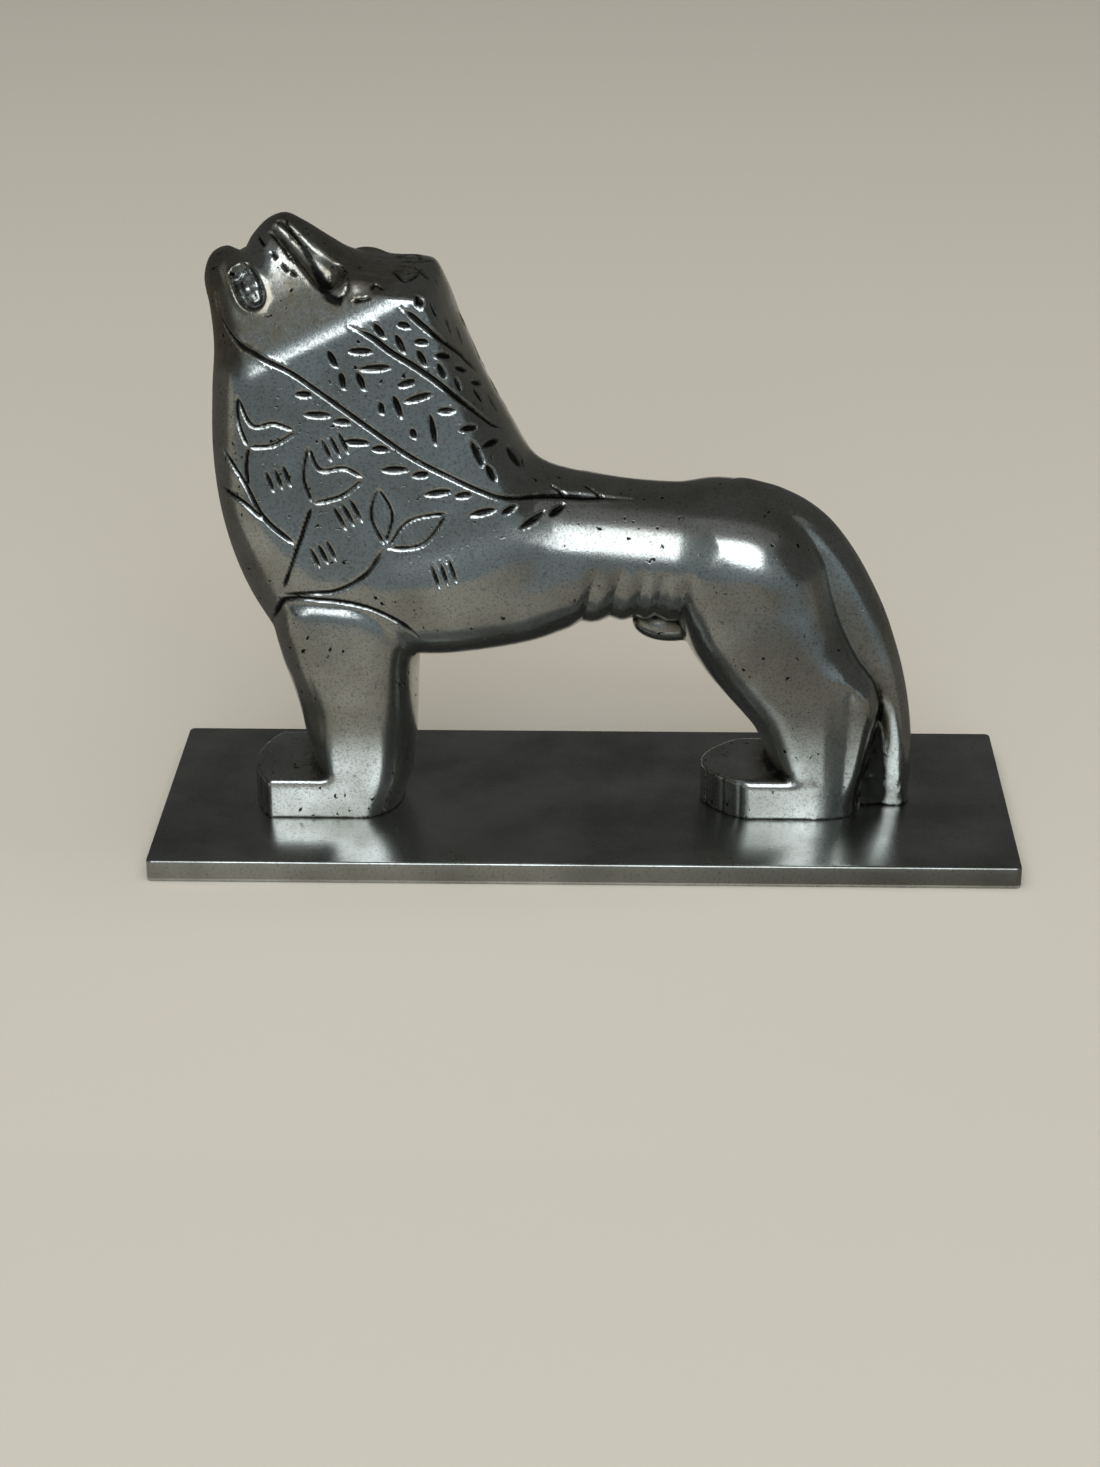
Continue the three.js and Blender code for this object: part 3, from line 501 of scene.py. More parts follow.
def lion_field(x, y, z):
    forms = lion_forms(x, y, z)
    total = forms[0][0]
    for form, fillet in forms[1:]:
        total = smooth_min(total, form, fillet)
    return total


# The chasing, cut into both sides of the lion. Where it isn't said to be in space, it is given
# in side view as [x, z].

# The long stem of the mane, with a row of leaves on each side. A row lists how far along the
# stem it starts, the gap between leaves, how many there are, and by turns the leaves' offsets
# from the stem and lengths. Its leaves swing away from the stem by its angle.
LONG_STEM = [
    [-53.6, 81.0], [-52.8, 78.1], [-50.2, 75.1], [-46.7, 73.4], [-42.4, 71.3], [-38.2, 68.3],
    [-29.6, 61.8], [-25.3, 58.7], [-21.0, 56.3], [-12.3, 52.4], [-3.5, 50.9], [7.1, 49.8],
]
LEAF_ROWS = [
    {
        "start": 19.2, "gap": 3.4, "count": 13,
        "offsets": (-1.6, -2.9), "lengths": (2.6, 4.2), "angle": 0.62,
    },
    {
        "start": 45.5, "gap": 3.4, "count": 3,
        "offsets": (5, 3), "lengths": (4.6, 3), "angle": -0.72,
    },
]
DASH_GROUPS = [
    {"at": [-36.2, 60.2], "run": [1.6, -3.6]},
    {"at": [-44.6, 55.2], "run": [1.2, -3.4]},
    {"at": [-34.6, 49.8], "run": [2.0, -3.8]},
    {"at": [-38.4, 43.6], "run": [1.5, -3.2]},
    {"at": [-20.6, 40.8], "run": [1.3, -3.8]},
]
DASH_GAP = 1.35
# The two petals with a tooled ground, each as the two edges that enclose it
TOOLED_PETALS = [
    [[[-29.3, 45.0], [-31.2, 49.6], [-30.1, 53.9]], [[-29.3, 45.0], [-28.1, 49.8], [-30.1, 53.9]]],
    [[[-28.9, 44.5], [-25.8, 48.7], [-19.9, 50.1]], [[-28.9, 44.5], [-23.8, 45.2], [-19.9, 50.1]]],
]
PETAL_EDGES = [
    [[-39.7, 51.4], [-40.9, 55.4], [-40.1, 60.3]],
    [[-40.1, 60.3], [-38.4, 56.6], [-35.0, 56.9], [-32.0, 55.3]],
    [[-39.7, 51.4], [-35.6, 52.6], [-32.0, 55.3]],
    [[-48.9, 60.0], [-50.2, 63.6], [-50.3, 67.6]],
    [[-48.8, 60.0], [-45.4, 60.3], [-41.7, 62.4]],
    [[-41.7, 62.4], [-45.0, 63.6], [-48.0, 63.2], [-50.3, 67.6]],
]
FLOWER_STEMS = [
    [[-44.8, 36.6], [-40.6, 37.3], [-36.9, 37.7], [-32.4, 40.3], [-29.3, 44.7]],
    [[-44.8, 37.2], [-42.3, 44.1], [-39.7, 51.4]],
    [[-42.2, 44.8], [-46.9, 49.2], [-49.7, 54.5], [-52.9, 59.1]],
    [[-49.1, 54.0], [-49.3, 57.0], [-48.8, 60.0]],
    [[-47.0, 48.9], [-50.0, 51.4], [-53.4, 52.8]],
]
# The two stems that run down the nape and their leaves, in space as [x, |y|, z]
NAPE_STEMS = [
    [[-33.6, 11.9, 78.0], [-32.1, 12.1, 77.4], [-30.1, 12.3, 76.3], [-27.9, 12.4, 74.5],
     [-24.3, 12.4, 72.2], [-20.5, 12.4, 69.4], [-18.5, 11.9, 67.6], [-16.6, 10.7, 65.7],
     [-14.8, 9.3, 63.8], [-13.5, 8.1, 62.4], [-12.0, 5.7, 60.9]],
    [[-26.2, 12.0, 80.9], [-24.7, 12.2, 79.8], [-23.2, 12.4, 78.4], [-21.5, 12.3, 77.0],
     [-19.9, 10.8, 75.3], [-18.3, 8.2, 73.2], [-17.0, 5.9, 71.1], [-15.9, 3.5, 69.0]],
]
NAPE_LEAVES = [
    [[-24.2, 10.9, 82.5], [-23.2, 12.2, 80.4]], [[-22.1, 10.6, 81.3], [-21.0, 10.7, 78.8]],
    [[-20.2, 7.9, 78.3], [-19.3, 7.9, 76.0]], [[-18.7, 3.7, 75.6], [-17.9, 4.7, 73.6]],
    [[-26.8, 12.3, 78.6], [-24.8, 12.4, 78.1]], [[-24.4, 12.4, 75.9], [-22.2, 12.4, 75.9]],
    [[-21.7, 12.4, 74.0], [-19.1, 10.5, 73.1]], [[-18.7, 10.7, 71.7], [-17.1, 7.8, 70.3]],
    [[-16.5, 8.1, 68.7], [-15.3, 4.5, 67.5]], [[-30.2, 12.1, 78.6], [-28.5, 12.4, 76.4]],
    [[-27.1, 12.4, 77.0], [-25.7, 12.4, 74.2]], [[-24.0, 12.4, 74.7], [-22.6, 12.4, 72.2]],
    [[-21.1, 12.4, 72.8], [-19.9, 12.2, 70.3]], [[-18.6, 11.3, 70.4], [-17.7, 10.9, 68.2]],
    [[-16.2, 8.3, 67.9], [-14.8, 7.3, 65.5]], [[-14.3, 4.1, 65.6], [-13.1, 3.9, 63.4]],
    [[-34.0, 12.3, 74.5], [-30.3, 12.4, 74.5]], [[-32.5, 12.4, 71.8], [-27.6, 12.4, 72.2]],
    [[-27.0, 12.4, 69.3], [-24.2, 12.4, 70.2]], [[-26.1, 12.4, 66.9], [-21.8, 12.4, 68.3]],
    [[-21.3, 12.4, 65.6], [-18.5, 12.2, 65.7]], [[-18.1, 12.4, 62.8], [-15.4, 11.0, 62.8]],
    [[-15.0, 11.8, 59.9], [-12.4, 8.2, 60.1]], [[-36.9, 12.2, 74.6], [-35.5, 12.4, 72.0]],
    [[-35.1, 12.4, 71.4], [-34.6, 12.4, 68.7]], [[-32.8, 12.4, 71.4], [-31.6, 12.4, 68.6]],
    [[-29.5, 12.4, 66.9], [-29.1, 12.4, 65.0]], [[-27.6, 12.4, 68.0], [-26.3, 12.4, 64.4]],
    [[-25.1, 12.4, 63.0], [-24.4, 12.4, 61.4]], [[-22.3, 12.4, 65.2], [-21.5, 12.4, 60.3]],
]
# Fine lines on the crown and the back, also in space
TOP_LINES = [
    [[-30.5, 10.4, 83.2], [-29.9, 9.5, 83.6], [-28.7, 10.4, 83.0]],
    [[-27.9, 3.6, 84.1], [-25.8, 8.0, 83.5], [-23.9, 3.7, 83.7]],
    [[-27.9, 3.6, 84.1], [-25.9, 4.1, 84.0], [-23.9, 3.7, 83.7]],
    [[-27.0, 1.3, 84.1], [-25.0, 1.6, 84.0], [-22.5, 5.7, 83.1]],
    [[-5.2, 5.1, 52.2], [-2.6, 6.2, 50.8]],
    [[-0.4, 3.3, 51.7], [2.9, 5.5, 50.1]],
    [[-45.8, 3.4, 89.6], [-45.0, 4.3, 89.4], [-44.2, 5.2, 88.8], [-43.3, 5.9, 88.1],
     [-42.4, 6.7, 87.1], [-41.3, 7.3, 86.2]],
    [[-44.8, 2.3, 90.7], [-44.2, 2.0, 90.5], [-43.2, 2.2, 89.8], [-42.2, 2.7, 88.7],
     [-41.1, 3.3, 87.7]],
    [[-47.4, 2.7, 88.9], [-46.7, 4.1, 88.3], [-46.0, 5.0, 87.8]],
    [[-45.2, 5.9, 87.3], [-44.3, 6.7, 86.5]],
    [[-43.7, 7.1, 85.9], [-42.8, 7.8, 84.9]],
    [[-42.5, 7.7, 85.1], [-41.8, 8.2, 84.5]],
    [[-33.2, 11.1, 81.5], [-31.9, 11.2, 81.7], [-30.6, 11.3, 82.0]],
]
FORELEG_SEAM = [
    [-47.2, 30.6], [-45.8, 33.8], [-44.6, 35.7], [-42.0, 36.4], [-39.3, 36.2], [-35.6, 35.8],
    [-31.9, 35.0], [-28.9, 33.7], [-26.7, 32.3], [-24.6, 30.0],
]

# Half widths and depths of the chased lines
STEM_CUT = (0.42, 0.4)
NAPE_CUT = (0.5, 0.45)
FINE_CUT = (0.36, 0.34)
DASH_CUT = (0.38, 0.4)
LEAF_CUT = (0.6, 0.5)
SEAM_CUT = (0.45, 0.4)
CUT_SHAPE = 0.85  # how the depth grows from a cut's edge to its middle
PETAL_SINK = 0.1  # depth of the tooled ground within a petal
BURR_HEIGHT = 0.055  # metal pushed up beside a cut
BURR_WIDTH = 0.24

MOUTH_DEPTH = 1.5
TEETH_DEPTH = 0.6
TOOTH = {"height": 0.14, "length": 1.5, "width": 1.7, "lean": 0.25}
MOUTH_BAR = [[-51.2, 84.2], [-50.2, 84.8], [-48.9, 85.3]]
MOUTH_BAR_HEIGHT = 0.5
MOUTH_BAR_HALF = 0.5
MOUTH_BAR_FOOT = 0.4  # the depth in the mouth from which the bar stands up
LIP_HEIGHT = 0.16
LIP_WIDTH = 0.3
MOUTH_MIDDLE = (-48.6, 82.2)
EYE = {"at": (-35.4, 83.5), "radii": (1.8, 2.1), "depth": 0.6, "ball": (1.4, 1.65), "rise": 0.75}
# The valley beside the nose's bridge, painted dark as shade, with its half width where it starts and
# ends
VALLEY = [[-43.2, 90.8], [-41.6, 88.4], [-39.8, 86.0], [-38.2, 83.4], [-36.8, 81.8], [-35.2, 81.3]]
VALLEY_HALF = (0.3, 0.9)
# Where the face's painted brown shade is left off to show the highlights, as [x, z] and how far it
# reaches
UNSHADED = [(MUZZLE["at"], 3.2), ((-40.4, 87.2), 2.0)]


def pointed(place):
    """The width of a leaf along its length, as a share of its widest."""
    return np.sqrt(np.maximum(1 - (2 * place - 1) ** 2, 0))


def tapered(place):
    """The width of a long stroke, full almost all its way."""
    return 0.25 + 0.75 * smoothstep(np.minimum(place, 1 - place), 0, 0.12)


class Chasing:
    """The depth cut into the lion in one view, and the distance to the nearest cut's edge."""

    def __init__(self, low, high):
        self.depth = Map(low, high, 0.1)
        self.edge = Map(low, high, 0.1)
        self.edge.values += 20

    def window(self, line, margin):
        """The part of the maps that lies round a line."""
        low = ((line.min(axis=0) - margin - self.depth.low) / self.depth.step).astype(int)
        high = ((line.max(axis=0) + margin - self.depth.low) / self.depth.step).astype(int)
        part = tuple(slice(max(a, 0), b + 1) for a, b in zip(low, high))
        return part, self.depth.u[part[0]], self.depth.v[:, part[1]]

    def sink(self, part, depth, edge):
        """Cuts a part of the maps at least this deep."""
        self.depth.values[part] = np.maximum(self.depth.values[part], depth)
        self.edge.values[part] = np.minimum(self.edge.values[part], edge)

    def stroke(self, corners, cut, shape=tapered, steps=8):
        """A line cut through corners."""
        half, depth = cut
        line = curve_through(corners, steps=steps)
        part, u, v = self.window(line, 3)
        away, place = along_line(line, u, v)
        width = half * np.maximum(shape(place), 0.02)
        across = away / width
        groove = depth * shape(place) * np.clip(1 - across, 0, 1) ** CUT_SHAPE
        self.sink(part, groove, away - width)

    def straight(self, at, run, cut, shape):
        """A straight line cut round its middle."""
        at, run = np.array(at), np.array(run)
        self.stroke([at - run / 2, at, at + run / 2], cut, shape, steps=3)

    def leaves(self, line, rows):
        """Rows of pointed leaves along a stem."""
        curve = curve_through(line, steps=24)
        lengths = np.linalg.norm(np.diff(curve, axis=0), axis=1)
        run = np.concatenate([[0], np.cumsum(lengths)])
        for row in rows:
            for i in range(row["count"]):
                s = min(row["start"] + i * row["gap"], run[-1] - 0.2)
                ahead, behind = s + 0.2, max(s - 0.2, 0)
                middle, after, before = (
                    np.array([np.interp(d, run, curve[:, 0]), np.interp(d, run, curve[:, 1])])
                    for d in (s, ahead, behind)
                )
                heading = np.arctan2(*(after - before)[::-1])
                aside = np.array([-sin(heading), cos(heading)]) * row["offsets"][i % 2]
                turn = heading + row["angle"]
                leaf = np.array([cos(turn), sin(turn)]) * row["lengths"][i % 2]
                self.straight(middle + aside, leaf, LEAF_CUT, pointed)

    def ground(self, outline, depth, wall):
        """A sunk ground within an outline, its wall sloping over "wall", with tool marks."""
        part, u, v = self.window(outline, 2)
        within = inset(outline, u, v)
        marks = 0.04 * np.sin(9 * u + 3 * v) * np.sin(2.2 * v - 1.1 * u)
        self.sink(part, (depth + marks) * smoothstep(within, 0, wall), np.maximum(-within, 0) - 0.2)


def raise_burrs(work):
    """Raises the metal that the graver has pushed up beside each cut."""
    burr = BURR_HEIGHT * np.exp(-((work.edge.values / BURR_WIDTH) ** 2))
    work.depth.values -= np.where(work.edge.values > 0, burr, 0)


def chase_sides():
    """All the chasing that is given in side view."""
    work = Chasing((-60, -4), (54, 96))
    work.stroke(LONG_STEM, STEM_CUT)
    work.leaves(LONG_STEM, LEAF_ROWS)
    for group in DASH_GROUPS:
        run = np.array(group["run"])
        aside = np.array([-run[1], run[0]]) * DASH_GAP / np.linalg.norm(run)
        for n in (-1, 0, 1):
            work.straight(np.array(group["at"]) + n * aside, run, DASH_CUT, pointed)
    for edges in TOOLED_PETALS:
        outline = np.vstack([curve_through(edges[0])[:-1], curve_through(edges[1])[:0:-1]])
        work.ground(outline, PETAL_SINK, 0.3)
        for edge in edges:
            work.stroke(edge, FINE_CUT)
    for line in PETAL_EDGES:
        work.stroke(line, FINE_CUT)
    for line in FLOWER_STEMS:
        work.stroke(line, STEM_CUT)
    work.stroke(FORELEG_SEAM, SEAM_CUT)
    raise_burrs(work)
    carve_mouth(work)
    carve_eye(work)
    return work


def space_cuts():
    """The lines given in space: each as points, its half width and depth, and its shape."""
    cuts = [(curve_through(line, steps=4), NAPE_CUT, tapered) for line in NAPE_STEMS]
    cuts += [(np.array([a, np.add(a, b) / 2, b]), LEAF_CUT, pointed) for a, b in NAPE_LEAVES]
    return cuts + [(curve_through(line, steps=4), FINE_CUT, tapered) for line in TOP_LINES]


def cut_in_space(points, out):
    """The depth that the lines in space cut at points, and the distance to their edges."""
    depth, edge = np.zeros(len(points)), np.full(len(points), 20.0)
    side = np.where(points[:, 1] < 0, -1, 1)[:, None] * [0, 1, 0] + [1, 0, 1]
    for line, (half, deep), shape in SPACE_CUTS:
        low, high = line.min(axis=0) - 2, line.max(axis=0) + 2
        near = np.flatnonzero(((points * side > low) & (points * side < high)).all(axis=1))
        p, n = (points * side)[near], (out * side)[near]
        lengths = np.linalg.norm(np.diff(line, axis=0), axis=1)
        away, place = np.full(len(near), 20.0), np.zeros(len(near))
        for a, b, start in zip(line, line[1:], np.cumsum(lengths) - lengths):
            run = b - a
            t = np.clip((p - a) @ run / (run @ run), 0, 1)
            off = p - a - t[:, None] * run
            off -= (off * n).sum(axis=1)[:, None] * n
            distance = np.linalg.norm(off, axis=1)
            place = np.where(distance < away, (start + t * np.linalg.norm(run)) / lengths.sum(), place)
            away = np.minimum(away, distance)
        width = half * np.maximum(shape(place), 0.02)
        groove = deep * shape(place) * np.clip(1 - away / width, 0, 1) ** CUT_SHAPE
        depth[near] = np.maximum(depth[near], groove)
        edge[near] = np.minimum(edge[near], away - width)
    burr = BURR_HEIGHT * np.exp(-((edge / BURR_WIDTH) ** 2))
    return depth - np.where(edge > 0, burr, 0), edge


SPACE_CUTS = space_cuts()


def carve_mouth(work):
    """The open mouth: a sunk slot with a lip, rough teeth in its middle and a bar across it."""
    outline = curve_through(MOUTH_OUTLINE, closed=True)
    part, u, v = work.window(outline, 2)
    within = inset(outline, u, v)
    gap = MOUTH_DEPTH * smoothstep(within, 0, 0.4)
    # Teeth: the middle stands higher, in rough rows across the slot
    along = (v - 80) + TOOTH["lean"] * (u + 49)
    across = u + 49.3
    rows = np.cos(2 * pi * along / TOOTH["length"]) * np.cos(2 * pi * across / TOOTH["width"])
    rows = TOOTH["height"] * rows
    on_teeth = inset(curve_through(TEETH_OUTLINE, closed=True), u, v)
    teeth = mix(gap, np.minimum(gap, TEETH_DEPTH + rows), smoothstep(on_teeth, 0, 0.3))
    work.sink(part, teeth, np.minimum(np.abs(within), np.abs(on_teeth)) - 0.4)
    # Its lip is drawn up all round
    lip = LIP_HEIGHT * np.exp(-(((within + LIP_WIDTH) / LIP_WIDTH) ** 2))
    work.depth.values[part] -= np.where(within < 0, lip, 0)
    # A raised bar closes the slot towards the nose
    away, _ = along_line(np.array(MOUTH_BAR), u, v)
    depth = work.depth.values[part]
    bar = MOUTH_BAR_HEIGHT * smoothstep(MOUTH_BAR_HALF - away, 0, 0.4)
    raised = np.minimum(depth, MOUTH_BAR_FOOT) - bar
    work.depth.values[part] = np.where(away < MOUTH_BAR_HALF, raised, depth)


def carve_eye(work):
    """A ball that stands in a shallow socket."""
    x, z = EYE["at"]
    part, u, v = work.window(np.array([[x - 3, z - 3], [x + 3, z + 3]]), 1)
    across = np.hypot((u - x) / EYE["radii"][0], (v - z) / EYE["radii"][1])
    socket = EYE["depth"] * (1 - smoothstep(across, 0.45, 1.05))
    inner = np.hypot((u - x) / EYE["ball"][0], (v - z) / EYE["ball"][1])
    ball = EYE["rise"] * np.sqrt(np.maximum(1 - inner * inner, 0))
    work.sink(part, socket - ball, 2 * np.abs(across - 0.8) - 0.5)


SIDES = chase_sides()


def cut_at(points, out):
    """The depth cut at points whose unit normals are "out", and the distance to the cuts' edges."""
    facing = np.abs(out[:, 1])
    depth, edge = cut_in_space(points, out)
    depth += SIDES.depth.at(points[:, 0], points[:, 2]) * smoothstep(facing, 0.12, 0.35)
    side_edge = np.where(facing > 0.1, SIDES.edge.at(points[:, 0], points[:, 2]), 20)
    return depth, np.minimum(edge, side_edge)


# Meshing

NET_STEP = 1.0  # the cells in which the surface is first meshed
CUT_EDGE = 0.27  # length of a triangle's edge on the chased lines
SMOOTH_EDGE = 1.3  # the longest edge on smooth forms
FLATNESS = 0.012  # how far an edge's middle may stand off the surface
SHORT_EDGE = 0.4  # edges under this aren't split for flatness
SPLIT_ROUNDS = 5


def slope_at(field, points):
    """The field's slope at points, from its values a little to both sides."""
    reach = 0.04
    slope = np.empty_like(points)
    for axis in range(3):
        step = np.zeros(3)
        step[axis] = reach
        slope[:, axis] = (field(*(points + step).T) - field(*(points - step).T)) / (2 * reach)
    return slope


def normals_at(points):
    slope = slope_at(lion_field, points)
    return slope / np.maximum(np.linalg.norm(slope, axis=1), 0.1)[:, None]


def settle(field, points, rounds=3):
    """Moves points on to the surface."""
    for _ in range(rounds):
        slope = slope_at(field, points)
        steep = np.maximum((slope * slope).sum(axis=1), 0.1)
        move = np.clip(field(*points.T) / steep, -0.6, 0.6)
        points = points - slope * move[:, None]
    return points


def surface_net(field, *lines):
    """A triangle mesh over a field's zero level: a vertex in each cell that it passes through."""
    grid = np.stack(np.meshgrid(*lines, indexing="ij"), axis=-1)
    x, y, z = lines
    values = field(x[:, None, None], y[None, :, None], z[None, None, :])
    inside = values < 0
    cells = tuple(n - 1 for n in values.shape)
    total, count = np.zeros(cells + (3,)), np.zeros(cells)
    crossings = []
    for axis in range(3):
        low = [slice(None)] * 3
        high = [slice(None)] * 3
        low[axis], high[axis] = slice(None, -1), slice(1, None)
        low, high = tuple(low), tuple(high)
        crossed = inside[low] != inside[high]
        rise = np.where(crossed, values[low] - values[high], 1)
        t = (values[low] / rise)[..., None]
        place = np.where(crossed[..., None], grid[low] * (1 - t) + grid[high] * t, 0)
        crossings.append((crossed, inside[low]))
        for du in (0, 1):
            for dv in (0, 1):
                part = [slice(None)] * 3
                for other, d in (((axis + 1) % 3, du), ((axis + 2) % 3, dv)):
                    part[other] = slice(d, d + cells[other])
                total += place[tuple(part)]
                count += crossed[tuple(part)]
    used = count > 0
    number = np.full(cells, -1)
    number[used] = np.arange(used.sum())
    points = total[used] / count[used][:, None]
    triangles = []
    for axis, (crossed, low_inside) in enumerate(crossings):
        u, v = (axis + 1) % 3, (axis + 2) % 3
        at = np.argwhere(crossed)
        inner = (at[:, u] > 0) & (at[:, v] > 0) & (at[:, u] < cells[u]) & (at[:, v] < cells[v])
        at = at[inner]
        ring = []
        for du, dv in ((0, 0), (-1, 0), (-1, -1), (0, -1)):
            cell = at.copy()
            cell[:, u] += du
            cell[:, v] += dv
            ring.append(number[tuple(cell.T)])
        ring = np.stack(ring, axis=1)
        outward = low_inside[tuple(at.T)]
        ring[~outward] = ring[~outward][:, ::-1]
        triangles += [ring[:, [0, 1, 2]], ring[:, [0, 2, 3]]]
    return points, np.vstack(triangles)


def split_edges(points, triangles, wanted):
    """Splits each edge that "wanted" marks at its middle, and the triangles on both sides."""
    sides = np.sort(triangles[:, [[0, 1], [1, 2], [2, 0]]], axis=2)
    keys, of_side = np.unique(sides[..., 0] * len(points) + sides[..., 1], return_inverse=True)
    a, b = keys // len(points), keys % len(points)
    split = wanted(points[a], points[b])
    middle = np.full(len(keys), -1)
    middle[split] = len(points) + np.arange(split.sum())
    added = (points[a[split]] + points[b[split]]) / 2
    m = middle[of_side.reshape(-1, 3)]
    count = (m >= 0).sum(axis=1)
    # Each triangle is turned so that a lone split side comes first, or a lone whole side last.
    first = np.where(count == 1, np.argmax(m >= 0, axis=1), 0)
    first = np.where(count == 2, (np.argmin(m, axis=1) + 1) % 3, first)
    order = (np.arange(3) + first[:, None]) % 3
    t = np.take_along_axis(triangles, order, axis=1)
    m = np.take_along_axis(m, order, axis=1)
    made = [triangles[count == 0]]
    for number, pieces in (
        (1, ("t0 m0 t2", "m0 t1 t2")),
        (2, ("m0 t1 m1", "t0 m0 m1", "t0 m1 t2")),
        (3, ("t0 m0 m2", "m0 t1 m1", "m1 t2 m2", "m0 m1 m2")),
    ):
        rows = count == number
        named = {f"t{i}": t[rows, i] for i in range(3)} | {f"m{i}": m[rows, i] for i in range(3)}
        made += [np.stack([named[name] for name in piece.split()], axis=1) for piece in pieces]
    return np.vstack([points, added]), np.vstack(made), len(added)


def wanted_edge(points, out):
    """The longest edge that the chasing allows at points on the surface."""
    _, away = cut_at(points, out)
    return np.clip(CUT_EDGE + 0.5 * np.maximum(away, 0), CUT_EDGE, SMOOTH_EDGE)


def lion_mesh():
    """The lion before it is chased, as points and triangles, finest where it will be cut."""
    xs = np.arange(-59, 54, NET_STEP)
    ys = np.arange(-14.5, 15, NET_STEP)
    zs = np.arange(-3, 95, NET_STEP)
    points, triangles = surface_net(lion_field, xs, ys, zs)
    points = settle(lion_field, points)
    for _ in range(SPLIT_ROUNDS):

        def wanted(a, b):
            middle = (a + b) / 2
            length = np.linalg.norm(a - b, axis=1)
            off = np.abs(lion_field(*middle.T))
            rough = (off > FLATNESS) & (length > SHORT_EDGE)
            return (length > 1.35 * wanted_edge(middle, normals_at(middle))) | rough

        points, triangles, added = split_edges(points, triangles, wanted)
        points[-added:] = settle(lion_field, points[-added:], 2)
    return points, triangles


def hollowness(points, out, reach):
    """How far the surface closes in on points, from 0 on a flat or rounded place."""
    return 1 - lion_field(*(points + out * reach).T) / reach


# Patina and painted shade. Each is given by its strength and by the two values between which it comes or
# goes.

CUT_STAIN = (0.9, 0.04, 0.26)  # by the depth of a cut
MOUTH_STAIN = (0.65, 0.8, 1.5)  # the mouth is left brighter than other deep cuts
MOUTH_REACH = 4
# Painted shade down the valley beside the bridge of the nose
VALLEY_SHADE = (0.85, 0.5, 1.2)  # by the share of the valley's half width, from full to none
# Darker where the surface closes in
CREASE_DARKENING = (0.8, 0.12, 0.5)  # by how hollow the surface is within CORNER_REACH
CORNER_REACH = 0.8
# Painted contact shadow on the feet, darkest at the plate
FOOT_SHADOW = (0.8, 0.1, 0.5)  # by the height over the plate, from full to none
TOE_STAIN = (0.85, 0.12, 0.45)  # by the depth of a groove between toes
# Darker in the recess before the tail
WEB_DARKENING = (0.9, -0.4, 0.3)  # by the distance past the web of the tail, from full to none
WEB_LUMPS = 0.22
WIDE_REACH = 3.0  # how far off the sides of a wide hollow are felt
FACE_SLOPE = 0.49
FACE_END = -24


def darkening(kind, value):
    """A darkening that comes in as the value grows."""
    strength, start, full = kind
    return strength * smoothstep(value, start, full)


def fading_darkening(kind, value):
    """A darkening that fades as the value grows."""
    strength, full, end = kind
    return strength * (1 - smoothstep(value, full, end))


def face_shade(x, z):
    """Painted brown shade on the face past its ridge, left off the sides of muzzle and bridge where
    highlights fall.
    """
    past = z - FACE_RIDGE["z"] - FACE_SLOPE * (x - FACE_RIDGE["x"])
    face = smoothstep(past, 0, 1.2) * (x < FACE_END)
    for at, reach in UNSHADED:
        face *= 1 - np.exp(-(((x - at[0]) / reach) ** 2) - ((z - at[1]) / reach) ** 2)
    return 0.9 * face


def chased(points):
    """The surface after chasing, its patina with painted shade, and its painted brown shade, each from 0
    to 1.
    """
    out = normals_at(points)
    depth, _ = cut_at(points, out)
    x, y, z = points.T
    mouth = np.hypot(x - MOUTH_MIDDLE[0], z - MOUTH_MIDDLE[1]) < MOUTH_REACH
    patina_and_shade = np.where(mouth, darkening(MOUTH_STAIN, depth), darkening(CUT_STAIN, depth))
    # Painted shade down the valley beside the bridge of the nose
    away, place = along_line(curve_through(VALLEY), x, z)
    patina_and_shade = np.maximum(patina_and_shade, fading_darkening(VALLEY_SHADE, away / mix(*VALLEY_HALF, place)))
    # Darker where the surface closes in
    patina_and_shade = np.maximum(patina_and_shade, darkening(CREASE_DARKENING, hollowness(points, out, CORNER_REACH)))
    # Painted contact shadow on the feet, darkest at the plate
    patina_and_shade = np.maximum(patina_and_shade, fading_darkening(FOOT_SHADOW, z))
    # Darker in the recess before the tail
    web = TAIL_WEB(x, y, z) - np.minimum(TAIL(x, y, z), HIND_FOOT(x, y, z))
    patina_and_shade = np.maximum(patina_and_shade, fading_darkening(WEB_DARKENING, web))
    for grooves in TOE_MAPS:
        on_paw = (out[:, 2] < 0.6) & (z < PAWS_TOP)
        patina_and_shade = np.maximum(patina_and_shade, on_paw * darkening(TOE_STAIN, grooves.at(x, y)))
    # The eyeball is kept clear of patina and painted shade within its dark outline
    ball = np.hypot((x - EYE["at"][0]) / EYE["ball"][0], (z - EYE["at"][1]) / EYE["ball"][1])
    patina_and_shade *= smoothstep(ball, 0.75, 1.0)
    # Painted brown shade: on faces that look up, in broad hollows and on the face past its ridge
    upward = smoothstep(out[:, 2], 0.1, 0.8) * smoothstep(z, 5, 12)
    wide = smoothstep(hollowness(points, out, WIDE_REACH), 0.1, 0.6)
    brown_shade = np.maximum(np.maximum(0.35 * upward, 0.8 * wide), face_shade(x, z))
    brown_shade = np.where(mouth & (depth > 0.3), 0, brown_shade)
    # The recess before the tail is left rough
    lumps = WEB_LUMPS * np.sin(5.1 * x + 2 * z) * np.sin(4.3 * z - 1.7 * y)
    depth = depth + lumps * (1 - smoothstep(web, *WEB_DARKENING[1:]))
    return points - out * depth[:, None], patina_and_shade, brown_shade


# Blender objects

def colour(hex_value):
    """An sRGB hex colour as linear red, green, blue and alpha."""
    channels = [int(hex_value[i : i + 2], 16) / 255 for i in (1, 3, 5)]
    linear = [c / 12.92 if c <= 0.04045 else ((c + 0.055) / 1.055) ** 2.4 for c in channels]
    return (*linear, 1.0)


def make_object(name, mesh, material):
    piece = bpy.data.objects.new(name, mesh)
    bpy.context.scene.collection.objects.link(piece)
    mesh.materials.append(material)
    return piece


